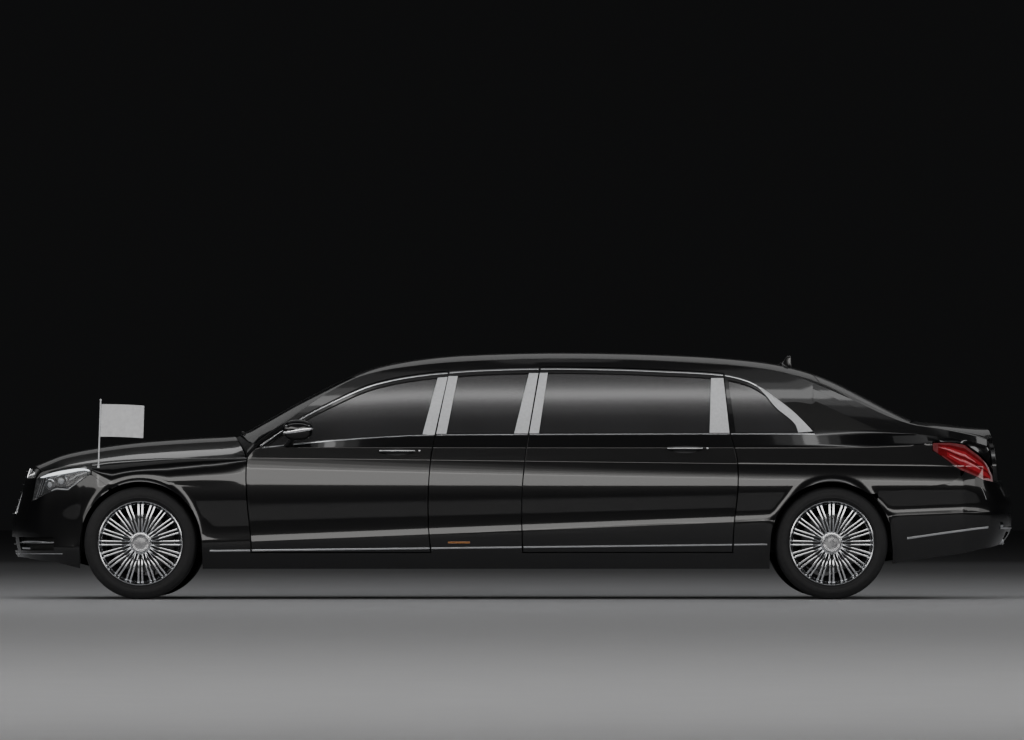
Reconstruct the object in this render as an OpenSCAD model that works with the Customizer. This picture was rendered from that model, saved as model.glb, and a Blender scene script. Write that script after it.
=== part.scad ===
// Stretch limousine with four doors, a long rear compartment and one flag standard.
// Millimetres. +X points to the rear, +Y to the car's right side, +Z up.
// The origin is on the ground, halfway along the body.

/* [Body] */
// Length of the body from bumper to bumper
body_l = 6500; // [6400:10:6600]
// Width of the body without its mirrors
body_w = 1900; // [1860:10:1940]
// Height of the roof's crown above the ground
body_h = 1595; // [1575:5:1615]
// Distance from the nose to the front axle
front_overhang = 875; // [865:1:885]
// Distance from the rear axle to the tail
rear_overhang = 1207; // [1190:1:1225]
// Gap between a moving panel and its neighbour
panel_gap = 6; // [5:0.5:8]
// Thickness of a fixed outer panel
panel_t = 22; // [16:1:28]
// Thickness of the hood and the trunk lid
lid_t = 26; // [18:1:32]
// Thickness of a door from its skin to its inner trim
door_t = 110; // [90:2:125]
// Thickness of a window frame and of the roof rail
frame_t = 42; // [34:1:50]
// Thickness of the glass
glass_t = 5; // [4:0.5:7]

/* [Wheels] */
// Radius of a tyre where it meets the road
tyre_r = 361; // [356:1:366]
// Width of a tyre
tyre_w = 246; // [230:2:255]
// Radius of a rim at its outer flange
rim_r = 270; // [262:1:276]
// Distance between the tyre centres on one axle
track = 1624; // [1600:2:1636]
// Gap between a tyre and its wheel arch
arch_gap = 31; // [28:1:36]
// Number of spokes in a wheel
spokes = 20; // [16:1:22]
// Radius of the wheel hub's pilot spigot
spigot_r = 33; // [30:0.5:36]
// Radius of a brake disc
disc_r = 190; // [175:1:200]

/* [Fittings] */
// Height of the flag standard above its foot
flag_h = 445; // [400:5:500]
// Length of the flag
flag_l = 275; // [220:5:300]
// Height of the flag
flag_w = 208; // [170:2:230]
// Radius of the flag's pole
pole_r = 5; // [4:0.5:7]
// Radius of an exhaust pipe
pipe_r = 32; // [28:1:36]
// Radius of the steering wheel
steer_r = 186; // [175:1:195]

/* [Hidden] */
$fn = 48;

// Places along the car. The shape tables are drawn for the first values and follow a change.
nose_x = -body_l / 2;
tail_x = body_l / 2;
front_axle_x = nose_x + front_overhang;
rear_axle_x = tail_x - rear_overhang;
design_front_axle = -2375;
design_rear_axle = 2043;
design_nose = -3250;
design_tail = 3250;
function remap(v, a, b, c, d) = c + (v - a) * (d - c) / (b - a);
function at_x(x) =
  x < design_front_axle ? remap(x, design_nose, design_front_axle, nose_x, front_axle_x)
  : x < design_rear_axle ? remap(x, design_front_axle, design_rear_axle, front_axle_x, rear_axle_x)
  : remap(x, design_rear_axle, design_tail, rear_axle_x, tail_x);
function from_x(x) =
  x < front_axle_x ? remap(x, nose_x, front_axle_x, design_nose, design_front_axle)
  : x < rear_axle_x ? remap(x, front_axle_x, rear_axle_x, design_front_axle, design_rear_axle)
  : remap(x, rear_axle_x, tail_x, design_rear_axle, design_tail);
function at_y(y) = y * body_w / 1900;
// Heights up to the waist keep to the wheels, and those above it follow the height of the roof
waist_z = 1000;
function at_z(z) = z <= waist_z ? z : remap(z, waist_z, 1595, waist_z, body_h);
function from_z(z) = z <= waist_z ? z : remap(z, waist_z, body_h, waist_z, 1595);
function mixed(a, b, t) = a + (b - a) * t;
function clamped(v, a, b) = min(max(v, a), b);

// A smooth curve through the points of a table, in design units
function slot_of(tab, x, i = 0) =
  i >= len(tab) - 2 || x < tab[i + 1][0] ? i : slot_of(tab, x, i + 1);
function slope_at(tab, i) =
  let (a = max(i - 1, 0), b = min(i + 1, len(tab) - 1))
  (tab[b][1] - tab[a][1]) / (tab[b][0] - tab[a][0]);
function curve(tab, x0) =
  let (
    x = clamped(x0, tab[0][0], tab[len(tab) - 1][0]), i = slot_of(tab, x),
    h = tab[i + 1][0] - tab[i][0], t = (x - tab[i][0]) / h,
    ma = slope_at(tab, i) * h, mb = slope_at(tab, i + 1) * h
  )
  tab[i][1] * (2 * t * t * t - 3 * t * t + 1) + ma * (t * t * t - 2 * t * t + t)
  + tab[i + 1][1] * (3 * t * t - 2 * t * t * t) + mb * (t * t * t - t * t);

// Half width of the body along its flank
plan_tab = [[-2780, 846], [-2600, 892], [-2375, 925], [-2100, 938], [-1700, 943], [-1000, 947],
  [0, 950], [1000, 950], [1700, 948], [2043, 944], [2400, 924], [2650, 893], [2900, 846]];
// Plan of the nose and of the tail, from the centre (0) to the flank (1)
nose_plan_x = [[0, -3250], [0.25, -3230], [0.5, -3158], [0.7, -3052], [0.85, -2932], [1, -2780]];
nose_plan_y = [[0, 0], [0.25, 262], [0.5, 512], [0.7, 675], [0.85, 772], [1, 846]];
tail_plan_x = [[0, 3250], [0.25, 3240], [0.5, 3196], [0.7, 3122], [0.85, 3028], [1, 2900]];
tail_plan_y = [[0, 0], [0.25, 268], [0.5, 520], [0.7, 684], [0.85, 782], [1, 846]];
// How far the nose and the tail lie back from their foremost line, by height
nose_back = [[180, 95], [230, 62], [300, 26], [380, 4], [480, 0], [552, 14], [700, 56], [850, 100]];
tail_back = [[180, 230], [300, 120], [364, 66], [430, 22], [494, 9], [560, 6], [637, 10], [690, 38],
  [743, 66], [930, 90], [1030, 122], [1090, 165]];
// Upper edge of the flank: the hood's edge, then the roof rail, then the trunk lid's edge
hood_edge_y = [[-3120, 470], [-2900, 590], [-2600, 702], [-2300, 780], [-2050, 826], [-1900, 842],
  [-1700, 846]];
hood_edge_z = [[-3120, 790], [-2900, 846], [-2600, 884], [-2300, 900], [-2050, 905], [-1900, 906],
  [-1700, 908]];
rail_z = [[-1700, 930], [-1650, 985], [-1362, 1200], [-1190, 1318], [-1010, 1416], [-860, 1461],
  [-712, 1488], [-416, 1520], [0, 1538], [595, 1539], [937, 1528], [1279, 1508], [1458, 1496],
  [1694, 1462], [1871, 1412], [2167, 1286], [2404, 1176], [2560, 1122], [2750, 1092], [2950, 1052],
  [3090, 1012]];
// Height of the centre line: hood, windscreen, roof, rear window, trunk lid
crown_z = [[-3120, 846], [-3050, 878], [-2901, 934], [-2683, 978], [-2467, 1008], [-2252, 1027],
  [-2036, 1041], [-1821, 1052], [-1760, 1062], [-1604, 1146], [-1389, 1268], [-1173, 1380],
  [-1044, 1441], [-900, 1494], [-741, 1530], [-527, 1561], [-310, 1579], [52, 1592], [358, 1595],
  [791, 1588], [1223, 1570], [1500, 1548], [1700, 1522], [1850, 1488], [1932, 1464], [2094, 1400],
  [2313, 1291], [2530, 1180], [2615, 1147], [2745, 1136], [2966, 1108], [3090, 1090]];
// Belt line under the windows, and the half width there
belt_z_tab = [[-1694, 906], [-1664, 944], [-1620, 972], [-1400, 1000], [-1153, 1023], [-800, 1047],
  [-518, 1058], [0, 1062], [1931, 1066], [2560, 1058], [2714, 1045], [2900, 1016], [3090, 970]];
belt_y_tab = [[-1700, 892], [-1400, 882], [-1000, 877], [0, 874], [1000, 873], [1600, 866], [2043, 848],
  [2300, 820], [2560, 778], [2750, 742], [2950, 694], [3090, 640]];
// Top of the side windows
window_z_tab = [[-1640, 972], [-1362, 1157], [-1170, 1260], [-940, 1365], [-768, 1412], [-597, 1441],
  [-416, 1460], [-205, 1475], [195, 1486], [595, 1482], [937, 1470], [1349, 1446], [1509, 1408],
  [1600, 1360], [1694, 1292], [1813, 1196], [1925, 1080]];
// Half width of the windscreen's and rear window's own edge inside the rail
tumble = 0.5;
shoulder_tab = [[-1700, 972], [2043, 972], [2560, 988], [2714, 1006], [2900, 1000], [3090, 950]];
handle_z0 = 905;
handle_z1 = 868;
low_line_z0 = 361;
low_line_z1 = 505;
sill_z = 196;
sill_in = 780;
door_bottom_z = 300;
arch_r = tyre_r + arch_gap;
flare_w = 46;
flare_out = 11;

// Places where the side is cut into doors, by height: front door front and rear, rear door front and rear
cut_a = [[196, -1664], [406, -1671], [668, -1696], [906, -1692], [972, -1640]];
cut_b = [[196, -512], [306, -519], [480, -534], [700, -534], [906, -518], [1058, -490], [1500, -398]];
cut_c = [[196, 66], [306, 68], [480, 62], [700, 64], [906, 84], [1062, 106], [1520, 186]];
cut_d = [[196, 1420], [306, 1412], [480, 1420], [700, 1444], [880, 1442], [980, 1420], [1066, 1396],
  [1500, 1356]];
window_cut_bc = 82;
window_cut_d = 96;

function belt_z(x) = at_z(curve(belt_z_tab, from_x(x)));
function belt_y(x) = at_y(curve(belt_y_tab, from_x(x)));
function window_z(x) = at_z(curve(window_z_tab, from_x(x)));
function plan_y(x) = at_y(curve(plan_tab, from_x(x)));
function low_line(x) = at_z(remap(from_x(x), -1899, 1653, low_line_z0, low_line_z1));
function handle_line(x) = at_z(remap(from_x(x), -1694, 1420, handle_z0, handle_z1));
function cut_x(tab, z) = at_x(curve(tab, from_z(z)));

// Swelling round a wheel arch
function flare(x, z) =
  let (
    f = norm([x - front_axle_x, z - tyre_r]), r = norm([x - rear_axle_x, z - tyre_r]),
    d = clamped((min(f, r) - arch_r) / flare_w, 0, 1)
  )
  flare_out * (1 - d) * (1 - d);
// How far the flank lies in from its widest line
function rocker_in(x, z) = 62 * pow(clamped((low_line(x) - z) / (low_line(x) - at_z(190)), 0, 1), 1.35);
function flank_in(x, z) =
  let (
    t = clamped((z - low_line(x)) / (handle_line(x) - low_line(x)), 0, 1),
    lip = 8 * (1 - pow(1 - min(t / 0.16, 1), 2)), fade = clamped((t - 0.16) / 0.5, 0, 1)
  )
  lip * (1 - fade * fade * (3 - 2 * fade)) + 36 * pow(max(0, (t - 0.42) / 0.58), 2);
function shoulder_in(x, z) =
  let (
    zs = at_z(curve(shoulder_tab, from_x(x))), zh = handle_line(x), zb = belt_z(x), over = plan_y(x) - belt_y(x),
    t = clamped((z - zs) / max(zb - zs, 1), 0, 1)
  )
  z <= zs ? mixed(36, 41, clamped((z - zh) / (zs - zh), 0, 1)) : mixed(41, over, t);
function side_in(x, z) =
  z < low_line(x) ? rocker_in(x, z) : z < handle_line(x) ? flank_in(x, z) : shoulder_in(x, z);
// Half width of the flank below the belt, and of the window area above it
function side_y(x, z) = plan_y(x) - side_in(x, z) + flare(x, z);
function cabin_y(x, z) =
  let (up = z - belt_z(x)) belt_y(x) - tumble * up + 14 * sin(180 * clamped(up / at_z(470), 0, 1));
function edge_z(x) = at_z(curve(rail_z, from_x(x)));
function edge_y(x) = cabin_y(x, edge_z(x));
function hood_y(x) = at_y(curve(hood_edge_y, from_x(x)));
function hood_z(x) = at_z(curve(hood_edge_z, from_x(x)));
function centre_z(x) = at_z(curve(crown_z, from_x(x)));
// Height of the hood, and of the roof, windows and trunk lid behind it
function hood_top(x, y) =
  mixed(centre_z(x), hood_z(x), pow(min(abs(y) / hood_y(x), 1), 2.4));
function cabin_top(x, y) =
  mixed(centre_z(x), edge_z(x), pow(min(abs(y) / edge_y(x), 1), 2.2));

// A front or rear corner of the body, from the centre (s = 0) to the flank (s = 1) and along it
function nose_pt(s, z) =
  s >= 1 ? let (x = at_x(-2780 + (s - 1) * 1000)) [x, -side_y(x, z), z]
  : let (
      x = curve(nose_plan_x, s) + curve(nose_back, from_z(z)) * (1 - s * s),
      y = curve(nose_plan_y, s), inset = plan_y(at_x(-2780)) - side_y(at_x(-2780), z)
    )
    [at_x(x), -(at_y(y) - inset * s * s), z];
function tail_pt(s, z) =
  s >= 1 ? let (x = at_x(2900 - (s - 1) * 1000)) [x, -side_y(x, z), z]
  : let (
      x = curve(tail_plan_x, s) - curve(tail_back, from_z(z)) * (1 - s * s),
      y = curve(tail_plan_y, s), inset = plan_y(at_x(2900)) - side_y(at_x(2900), z)
    )
    [at_x(x), -(at_y(y) - inset * s * s), z];

// A closed shell between two grids of points, the outer one seen from outside with its rows upward
module shell(outer, inner) {
  rows = len(outer);
  cols = len(outer[0]);
  n = rows * cols;
  points = concat([for (r = outer) each r], [for (r = inner) each r]);
  function id(r, c) = r * cols + c;
  faces = concat(
    [for (r = [0:rows - 2], c = [0:cols - 2]) each [
      [id(r, c), id(r + 1, c), id(r + 1, c + 1)], [id(r, c), id(r + 1, c + 1), id(r, c + 1)],
      [n + id(r, c), n + id(r + 1, c + 1), n + id(r + 1, c)],
      [n + id(r, c), n + id(r, c + 1), n + id(r + 1, c + 1)]]],
    [for (c = [0:cols - 2]) each [
      [id(0, c), id(0, c + 1), n + id(0, c + 1)], [id(0, c), n + id(0, c + 1), n + id(0, c)],
      [id(rows - 1, c), n + id(rows - 1, c + 1), id(rows - 1, c + 1)],
      [id(rows - 1, c), n + id(rows - 1, c), n + id(rows - 1, c + 1)]]],
    [for (r = [0:rows - 2]) each [
      [id(r, 0), n + id(r + 1, 0), id(r + 1, 0)], [id(r, 0), n + id(r, 0), n + id(r + 1, 0)],
      [id(r, cols - 1), id(r + 1, cols - 1), n + id(r + 1, cols - 1)],
      [id(r, cols - 1), n + id(r + 1, cols - 1), n + id(r, cols - 1)]]]);
  polyhedron(points = points, faces = faces, convexity = 6);
}
// The same shell without the cells that are not kept, so a grid can have openings
module shell_cut(outer, inner, keep) {
  rows = len(outer);
  cols = len(outer[0]);
  n = rows * cols;
  points = concat([for (r = outer) each r], [for (r = inner) each r]);
  function id(r, c) = r * cols + c;
  function kept(r, c) = r >= 0 && c >= 0 && r < rows - 1 && c < cols - 1 && keep[r][c];
  function wall(a, b) = [[a, b, n + b], [a, n + b, n + a]];
  faces = [for (r = [0:rows - 2], c = [0:cols - 2]) if (keep[r][c]) each concat(
    [[id(r, c), id(r + 1, c), id(r + 1, c + 1)], [id(r, c), id(r + 1, c + 1), id(r, c + 1)],
      [n + id(r, c), n + id(r + 1, c + 1), n + id(r + 1, c)],
      [n + id(r, c), n + id(r, c + 1), n + id(r + 1, c + 1)]],
    kept(r - 1, c) ? [] : wall(id(r, c), id(r, c + 1)),
    kept(r + 1, c) ? [] : wall(id(r + 1, c + 1), id(r + 1, c)),
    kept(r, c - 1) ? [] : wall(id(r + 1, c), id(r, c)),
    kept(r, c + 1) ? [] : wall(id(r, c + 1), id(r + 1, c + 1)))];
  polyhedron(points = points, faces = faces, convexity = 8);
}
// The same grid moved by a vector
function shifted(grid, v) = [for (r = grid) [for (p = r) p + v]];
// Copies its children on the left or the right side of the car
module on_side(left) {
  if (left) children();
  else mirror([0, 1, 0]) children();
}
// The left flank between two cuts and two heights, as a grid
function flank(xa, xb, za, zb, cols, rows, t = 0, inset = 0) =
  [for (j = [0:rows]) [for (i = [0:cols])
    let (
      zr = mixed(za, zb, j / rows), x = mixed(xa(zr) + inset, xb(zr) - inset, i / cols),
      z = mixed(za + inset, zb - inset, j / rows)
    )
    [x, -side_y(x, z) + t, z]]];

// Doors
door_cols = 8;
door_rows = 9;
door_taper = 26;
frame_h = 34;
frame_taper = 14;
seat_gap = 0.3;
function door_zone(front) = front
  ? [cut_a, cut_b, -1692, -490]
  : [cut_c, cut_d, 106, 1396];
// Heights of a grid's rows at x, from za to the belt, with rows on the crease lines
function side_rows(x, za, zt) =
  let (
    z3 = min(at_z(curve(shoulder_tab, from_x(x))), zt - 10), z2 = min(handle_line(x), z3 - 10),
    z1 = max(min(low_line(x), z2 - 30), za + 20), z1b = mixed(z1, z2, 0.12)
  )
  [za, mixed(za, z1, 0.5), z1, z1b, mixed(z1b, z2, 0.42), mixed(z1b, z2, 0.75), z2, z3, mixed(z3, zt, 0.5), zt];
// One side of a door's lower part: t is how far it lies inboard, inset how far it stays inside the edges
function door_grid(front, t, inset) =
  let (zone = door_zone(front), hg = panel_gap / 2 + inset)
  [for (j = [0:door_rows]) [for (i = [0:door_cols])
    let (
      xt = mixed(at_x(zone[2]) + hg, at_x(zone[3]) - hg, i / door_cols),
      zt = belt_z(xt) - inset * 0.5, zb = at_z(door_bottom_z) + hg, z = side_rows(xt, zb, zt)[j],
      x = mixed(cut_x(zone[0], front ? min(z, at_z(906)) : z) + hg, cut_x(zone[1], z) - hg, i / door_cols)
    )
    [x, -side_y(x, z) + t, z]]];
// Window opening of a door or a fixed pane: [lower front, lower rear, upper edge from front to rear], as [x, z]
top_cols = 12;
function opening(xa0, xa1, xb0, xb1, cols = top_cols) = [
  [xa0, belt_z(xa0)], [xb0, belt_z(xb0)],
  [for (i = [0:cols]) let (x = mixed(xa1, xb1, i / cols)) [x, window_z(x) - frame_h]]];
front_open = opening(at_x(-1568), at_x(-1520), cut_x(cut_b, at_z(1058)) - window_cut_bc,
  cut_x(cut_b, at_z(1440)) - window_cut_bc * 0.8);
rear_open = opening(cut_x(cut_c, at_z(1062)) + 66, cut_x(cut_c, at_z(1450)) + 56,
  cut_x(cut_d, at_z(1066)) - 132, cut_x(cut_d, at_z(1430)) - 84);
middle_open = opening(cut_x(cut_b, at_z(1058)) + 70, cut_x(cut_b, at_z(1440)) + 62,
  cut_x(cut_c, at_z(1062)) - 92, cut_x(cut_c, at_z(1450)) - 64);
quarter_open = opening(cut_x(cut_d, at_z(1066)) + 34, cut_x(cut_d, at_z(1430)) + 26,
  at_x(1862), at_x(1846), 14);
function on_cabin(p, t = 0) = [p[0], -cabin_y(p[0], p[1]) + t, p[1]];
function on_cabin_grid(g, t = 0) = [for (r = g) [for (p = r) on_cabin(p, t)]];
// A window frame: up the front post, along the top and down the rear post, from the opening to the outer edge
function frame_path(low_a, high_a, top, high_b, low_b, n) = concat(
  [for (i = [0:n - 1]) mixed(low_a, high_a, i / n)], top, [for (i = [1:n]) mixed(high_b, low_b, i / n)]);
// The lower end of an edge, drawn out downward along the edge's own line
post_root = 14;
function rooted(low, high) = low - (high - low) * post_root / (high[1] - low[1]);
module door_frame(open, outer_a, outer_b, x_top_a, x_top_b) {
  n = 3;
  m = len(open[2]) - 1;
  inner_path = frame_path(rooted(open[0], open[2][0]), open[2][0], open[2], open[2][m],
    rooted(open[1], open[2][m]), n);
  outer_top = [for (i = [0:m]) let (x = mixed(x_top_a, x_top_b, i / m)) [x, window_z(x)]];
  outer_path = frame_path(outer_a, outer_top[0], outer_top, outer_top[m], outer_b, n);
  // The inner face's rear edge is set forward, so that the frame clears the post as the door swings out
  inset_path = [for (i = [0:len(outer_path) - 1]) let (p = outer_path[i])
    i < n + m ? p : p - [frame_taper * clamped((p[1] - belt_z(p[0])) / 300, 0.2, 1), 0]];
  shell(on_cabin_grid([inner_path, outer_path], 1), on_cabin_grid([inner_path, inset_path], frame_t));
}
// A pane that fills an opening; its edges run along the frame's own edges
module pane(open, rows = 3, drop = 0.8, top_drop = 0.5, edge = seat_gap) {
  m = len(open[2]) - 1;
  g = [for (j = [0:rows]) [for (i = [0:m])
    let (
      f = i == 0 ? edge : i == m ? -edge : 0,
      low = mixed(open[0], open[1], i / m), lz = belt_z(low[0]) + drop, top = open[2][i],
      p = mixed([low[0], lz], top - [0, top_drop], j / rows)
    )
    [p[0] + f, p[1]]]];
  shell(on_cabin_grid(g, 12), on_cabin_grid(g, 12 + glass_t));
}
module door_handle(x, z) {
  y = -side_y(x, z);
  translate([x, y, z]) {
    translate([-92, -14, 0]) rotate([0, 90, 0]) cylinder(r = 9, h = 184, $fn = 24);
    for (dx = [-70, 70]) translate([dx, -6, 0]) cube([18, 24, 14], center = true);
  }
}
handle_front_x = -745;
handle_rear_x = 1112;
handle_z = 946;
module door_front() {
  color([0.02, 0.02, 0.025]) {
    shell(door_grid(true, 0, 0), door_grid(true, door_t, door_taper));
    door_frame(front_open, [at_x(-1616), belt_z(at_x(-1616)) - 14],
      [cut_x(cut_b, at_z(1044)) - panel_gap / 2, at_z(1044)], at_x(-1600),
      cut_x(cut_b, at_z(1458)) - panel_gap / 2);
    door_handle(at_x(handle_front_x), at_z(handle_z));
  }
}
module door_rear() {
  color([0.02, 0.02, 0.025]) {
    shell(door_grid(false, 0, 0), door_grid(false, door_t, door_taper));
    door_frame(rear_open, [cut_x(cut_c, at_z(1048)) + panel_gap / 2, at_z(1048)],
      [cut_x(cut_d, at_z(1050)) - panel_gap / 2, at_z(1050)],
      cut_x(cut_c, at_z(1486)) + panel_gap / 2, cut_x(cut_d, at_z(1448)) - panel_gap / 2);
    door_handle(at_x(handle_rear_x), at_z(handle_z + 4));
  }
}
module glass_front() { color([0.1, 0.1, 0.1, 0.5]) pane(front_open, edge = 1.2); }
module glass_rear() { color([0.1, 0.1, 0.1, 0.5]) pane(rear_open); }

// Fixed side of the body: sill, middle panel between the doors, roof rail and quarter panel
module sill() {
  xa = front_axle_x + arch_r + 4;
  xb = rear_axle_x - arch_r - 4;
  zt = at_z(door_bottom_z) - panel_gap / 2;
  g = [for (j = [0:3]) [for (i = [0:12])
    let (x = mixed(xa, xb, i / 12), z = mixed(at_z(sill_z), zt, j / 3))
    [x, -side_y(x, z), z]]];
  shell(g, [for (r = g) [for (p = r) [p[0], -at_y(sill_in), p[2]]]]);
}
// A window post between a front and a rear edge, each given as [lower, upper] in [x, z]
module post(front_edge, rear_edge) {
  g = [for (j = [0:5]) [
    mixed(front_edge[0], front_edge[1], j / 5), mixed(rear_edge[0], rear_edge[1], j / 5)]];
  shell(on_cabin_grid(g, 1), on_cabin_grid(g, frame_t));
}
function under_rail(x) = [x, window_z(x) - frame_h - seat_gap];
// A post from the belt to the rail: lower end and upper place of its front edge, then of its rear edge
module edge_post(low_a, high_a, low_b, high_b) {
  a = under_rail(is_list(high_a) ? high_a[0] : high_a);
  b = under_rail(is_list(high_b) ? high_b[0] : high_b);
  post([rooted(low_a, a), a], [rooted(low_b, b), b]);
}
// The stretch of side between the two doors, with the posts of its window
module middle_panel() {
  hg = panel_gap / 2;
  g = [for (j = [0:door_rows]) [for (i = [0:4])
    let (
      xt = mixed(cut_x(cut_b, at_z(1058)), cut_x(cut_c, at_z(1062)), i / 4),
      z = side_rows(xt, at_z(door_bottom_z) - hg + seat_gap, belt_z(xt))[j],
      x = mixed(cut_x(cut_b, z) + hg, cut_x(cut_c, z) - hg, i / 4)
    )
    [x, -side_y(x, z), z]]];
  shell(g, shifted(g, [0, 60, 0]));
  m = middle_open;
  edge_post([cut_x(cut_b, at_z(1058)) + hg, m[0][1]], cut_x(cut_b, at_z(1430)) + hg, m[0], m[2][0]);
  edge_post(m[1], m[2][top_cols][0], [cut_x(cut_c, at_z(1062)) - hg, m[1][1]], cut_x(cut_c, at_z(1450)) - hg);
}
// Depth and width of the ledge that carries the roof and the glass inside the rail
function on_roof(x) = x > at_x(-1012) && x < at_x(1978.5);
ledge_gap = 1.2;
function ledge_d(x) = x > at_x(lid_from) ? lid_t + panel_gap : on_roof(x) ? lid_t + ledge_gap : glass_t + 2;
lid_from = 2556;
function flush_w(x) =
  mixed(26, 96, clamped((x - at_x(1800)) / 150, 0, 1)) - 46 * clamped((x - at_x(2476)) / 80, 0, 1);
ledge_w = 40;
// Lower edge of the roof rail: above a door it clears the frame, elsewhere it is the window's own edge
function rail_b() = cut_x(cut_b, at_z(1460));
function rail_c() = cut_x(cut_c, at_z(1450)) - panel_gap / 2 - 1;
function rail_d() = cut_x(cut_d, at_z(1410));
function rail_low(x) =
  let (
    b = rail_b(), c = rail_c(), d = rail_d(), fixed = (x > b && x < c) || x > d
  )
  x < at_x(-1694) ? hood_z(x) + seat_gap
  : x < at_x(-1625) ? belt_z(x) + panel_gap
  : x > at_x(1930) ? edge_z(x) - 40 : window_z(x) + (fixed ? -frame_h : panel_gap);
// Columns of the rail, doubled where its lower edge steps
function rail_xs() = let (
    stops = [at_x(-1691), at_x(-1012), rail_b(), rail_c(), rail_d(), at_x(1930), at_x(1978.5), at_x(lid_from),
      at_x(3050)],
    counts = [6, 5, 4, 6, 7, 1, 6, 5]
  )
  concat([at_x(-1698), at_x(-1695.5)], [for (k = [0:7], i = [0:counts[k]])
    let (a0 = stops[k] + (k == 0 ? 0 : 1), b0 = stops[k + 1] - 1) mixed(a0, b0, i / counts[k])]);
module roof_rail() {
  xs = rail_xs();
  function low(x) = min(rail_low(x), edge_z(x) - 8);
  outer = concat(
    [for (j = [0:2]) [for (x = xs) let (z = mixed(low(x), edge_z(x), j / 2)) [x, -cabin_y(x, z), z]]],
    [for (k = [0:2]) [for (x = xs)
      let (
        w = flush_w(x) + (k == 0 ? 0 : k == 1 ? 3 : 3 + ledge_w), y = edge_y(x) - w,
        drop = k == 0 ? 0 : ledge_d(x)
      )
      [x, -y, cabin_top(x, y) - drop]]]);
  inner = [for (j = [0:5]) [for (i = [0:len(xs) - 1])
    let (p = outer[j][i], low_part = j < 3, k = j == 2 ? clamped((p[0] - at_x(-1200)) / 120, 0, 1) : 0)
    p + [0, low_part ? frame_t - 16 * k : frame_t * 0.3, low_part ? -j * 6 - 26 * k : -34]]];
  shell(outer, inner);
}

// Height where a fender or quarter panel begins: the arch, or the given lower edge
function arch_z(x, axle, low) =
  let (d = abs(x - axle)) d >= arch_r ? low : tyre_r + sqrt(arch_r * arch_r - d * d);
// Columns across a wheel arch, from the front edge to the rear edge, closely spaced at the arch's feet
function arch_xs(xa, xb, axle, before, after) = concat(
  [for (i = [0:before - 1]) mixed(xa, axle - arch_r - 1.5, i / max(before - 1, 1))],
  [for (a = [0:10:180]) axle - arch_r * cos(a)],
  [for (i = [0:after - 1]) mixed(axle + arch_r + 1.5, xb, i / max(after - 1, 1))]);
fender_z1 = 735;
// A point on the front fender between its lower edge (0) and the hood's edge (1)
function fender_pt(x, low, t) =
  let (
    z1 = max(at_z(fender_z1), low + 24), ze = hood_z(x), ye = hood_y(x) + panel_gap / 2,
    y1 = side_y(x, z1), k = 0.5, lower = t < k, u = lower ? t / k : (t - k) / (1 - k),
    z = lower ? mixed(low, z1, u) : mixed(z1, ze, sin(90 * u)),
    arc_y = mixed(y1, ye, 1 - cos(90 * u)),
    door_like = min(side_y(x, z), mixed(side_y(x, z), ye, pow(u, 8))),
    w = clamped((at_x(-1700) - x) / 320, 0, 1)
  )
  [x, lower ? -side_y(x, z) : -mixed(door_like, arc_y, w * w * (3 - 2 * w)), z];
module fender() {
  xb = at_x(-1692) - panel_gap / 2 - 4;
  first = 62;
  xs = concat([for (x = [-2690, -2648, -2606, -2578]) at_x(x)],
    [for (k = [0:11]) front_axle_x - arch_r * cos(mixed(first, 180, k / 11))],
    [for (k = [0:4]) mixed(front_axle_x + arch_r + 1.5, xb, k / 4)]);
  rows = 8;
  function low(x) =
    x > front_axle_x + arch_r ? at_z(door_bottom_z) - panel_gap / 2 + seat_gap
    : max(arch_z(x, front_axle_x, tyre_r), remap(x, at_x(-2690), at_x(-2562), at_z(800), at_z(705)));
  g = [for (j = [0:rows]) [for (x = xs)
    let (
      back = x > front_axle_x + arch_r, p = fender_pt(x, low(x), j / rows),
      cut = back ? clamped((x - front_axle_x - arch_r) / (xb - front_axle_x - arch_r), 0, 1) : 0,
      door_x = cut_x(cut_a, min(p[2], at_z(906))) - panel_gap / 2
    )
    fender_shift(p, x, back ? mixed(x, door_x, cut) : x)]];
  inner = [for (j = [0:rows]) let (a = 90 * clamped(2 * j / rows - 1, 0, 1)) [for (p = g[j])
    p + panel_t * 0.8 * [0, cos(a), -sin(a)]]];
  color([0.02, 0.02, 0.025]) {
    shell(g, inner);
    lamp_brow();
  }
}
// Strip of the fender over the headlamp, up to the hood's edge
module lamp_brow() {
  n = len(lamp_s_tab);
  ss = concat([1.092], [for (i = [n - 1:-1:0]) lamp_s_tab[i]]);
  g = [for (j = [0:3]) [for (i = [n:-1:0])
    let (
      s = ss[i], x = remap(s, 1.092, 0.606, at_x(-2688), at_x(-3018)),
      low = nose_pt(s, at_z(seg(lamp_high, min(s, 1.084))) + 0.6), high = [x, -hood_y(x) - panel_gap / 2, hood_z(x)]
    )
    mixed(low, high, j / 3) + [0, -0.1 * i, 9] * sin(60 * j) * (i > 0 ? 1 : 0) + [0, i == 0 ? 1 : 0, 0]]];
  inner = [for (j = [0:3]) [for (i = [0:n])
    g[j][i] + (j == 0 ? nose_left_in(ss[n - i], 12) : [0, 0, -12])]];
  shell(g, inner);
}
function nose_left_in(s, t) = let (v = nose_inward(s, t)) [v[0], v[1], 0];
// A fender point moved along the car so that the rear edge follows the door
function fender_shift(p, x, nx) = [nx, p[1] + (p[2] < at_z(860) ? side_y(x, p[2]) - side_y(nx, p[2]) : 0), p[2]];
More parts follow.
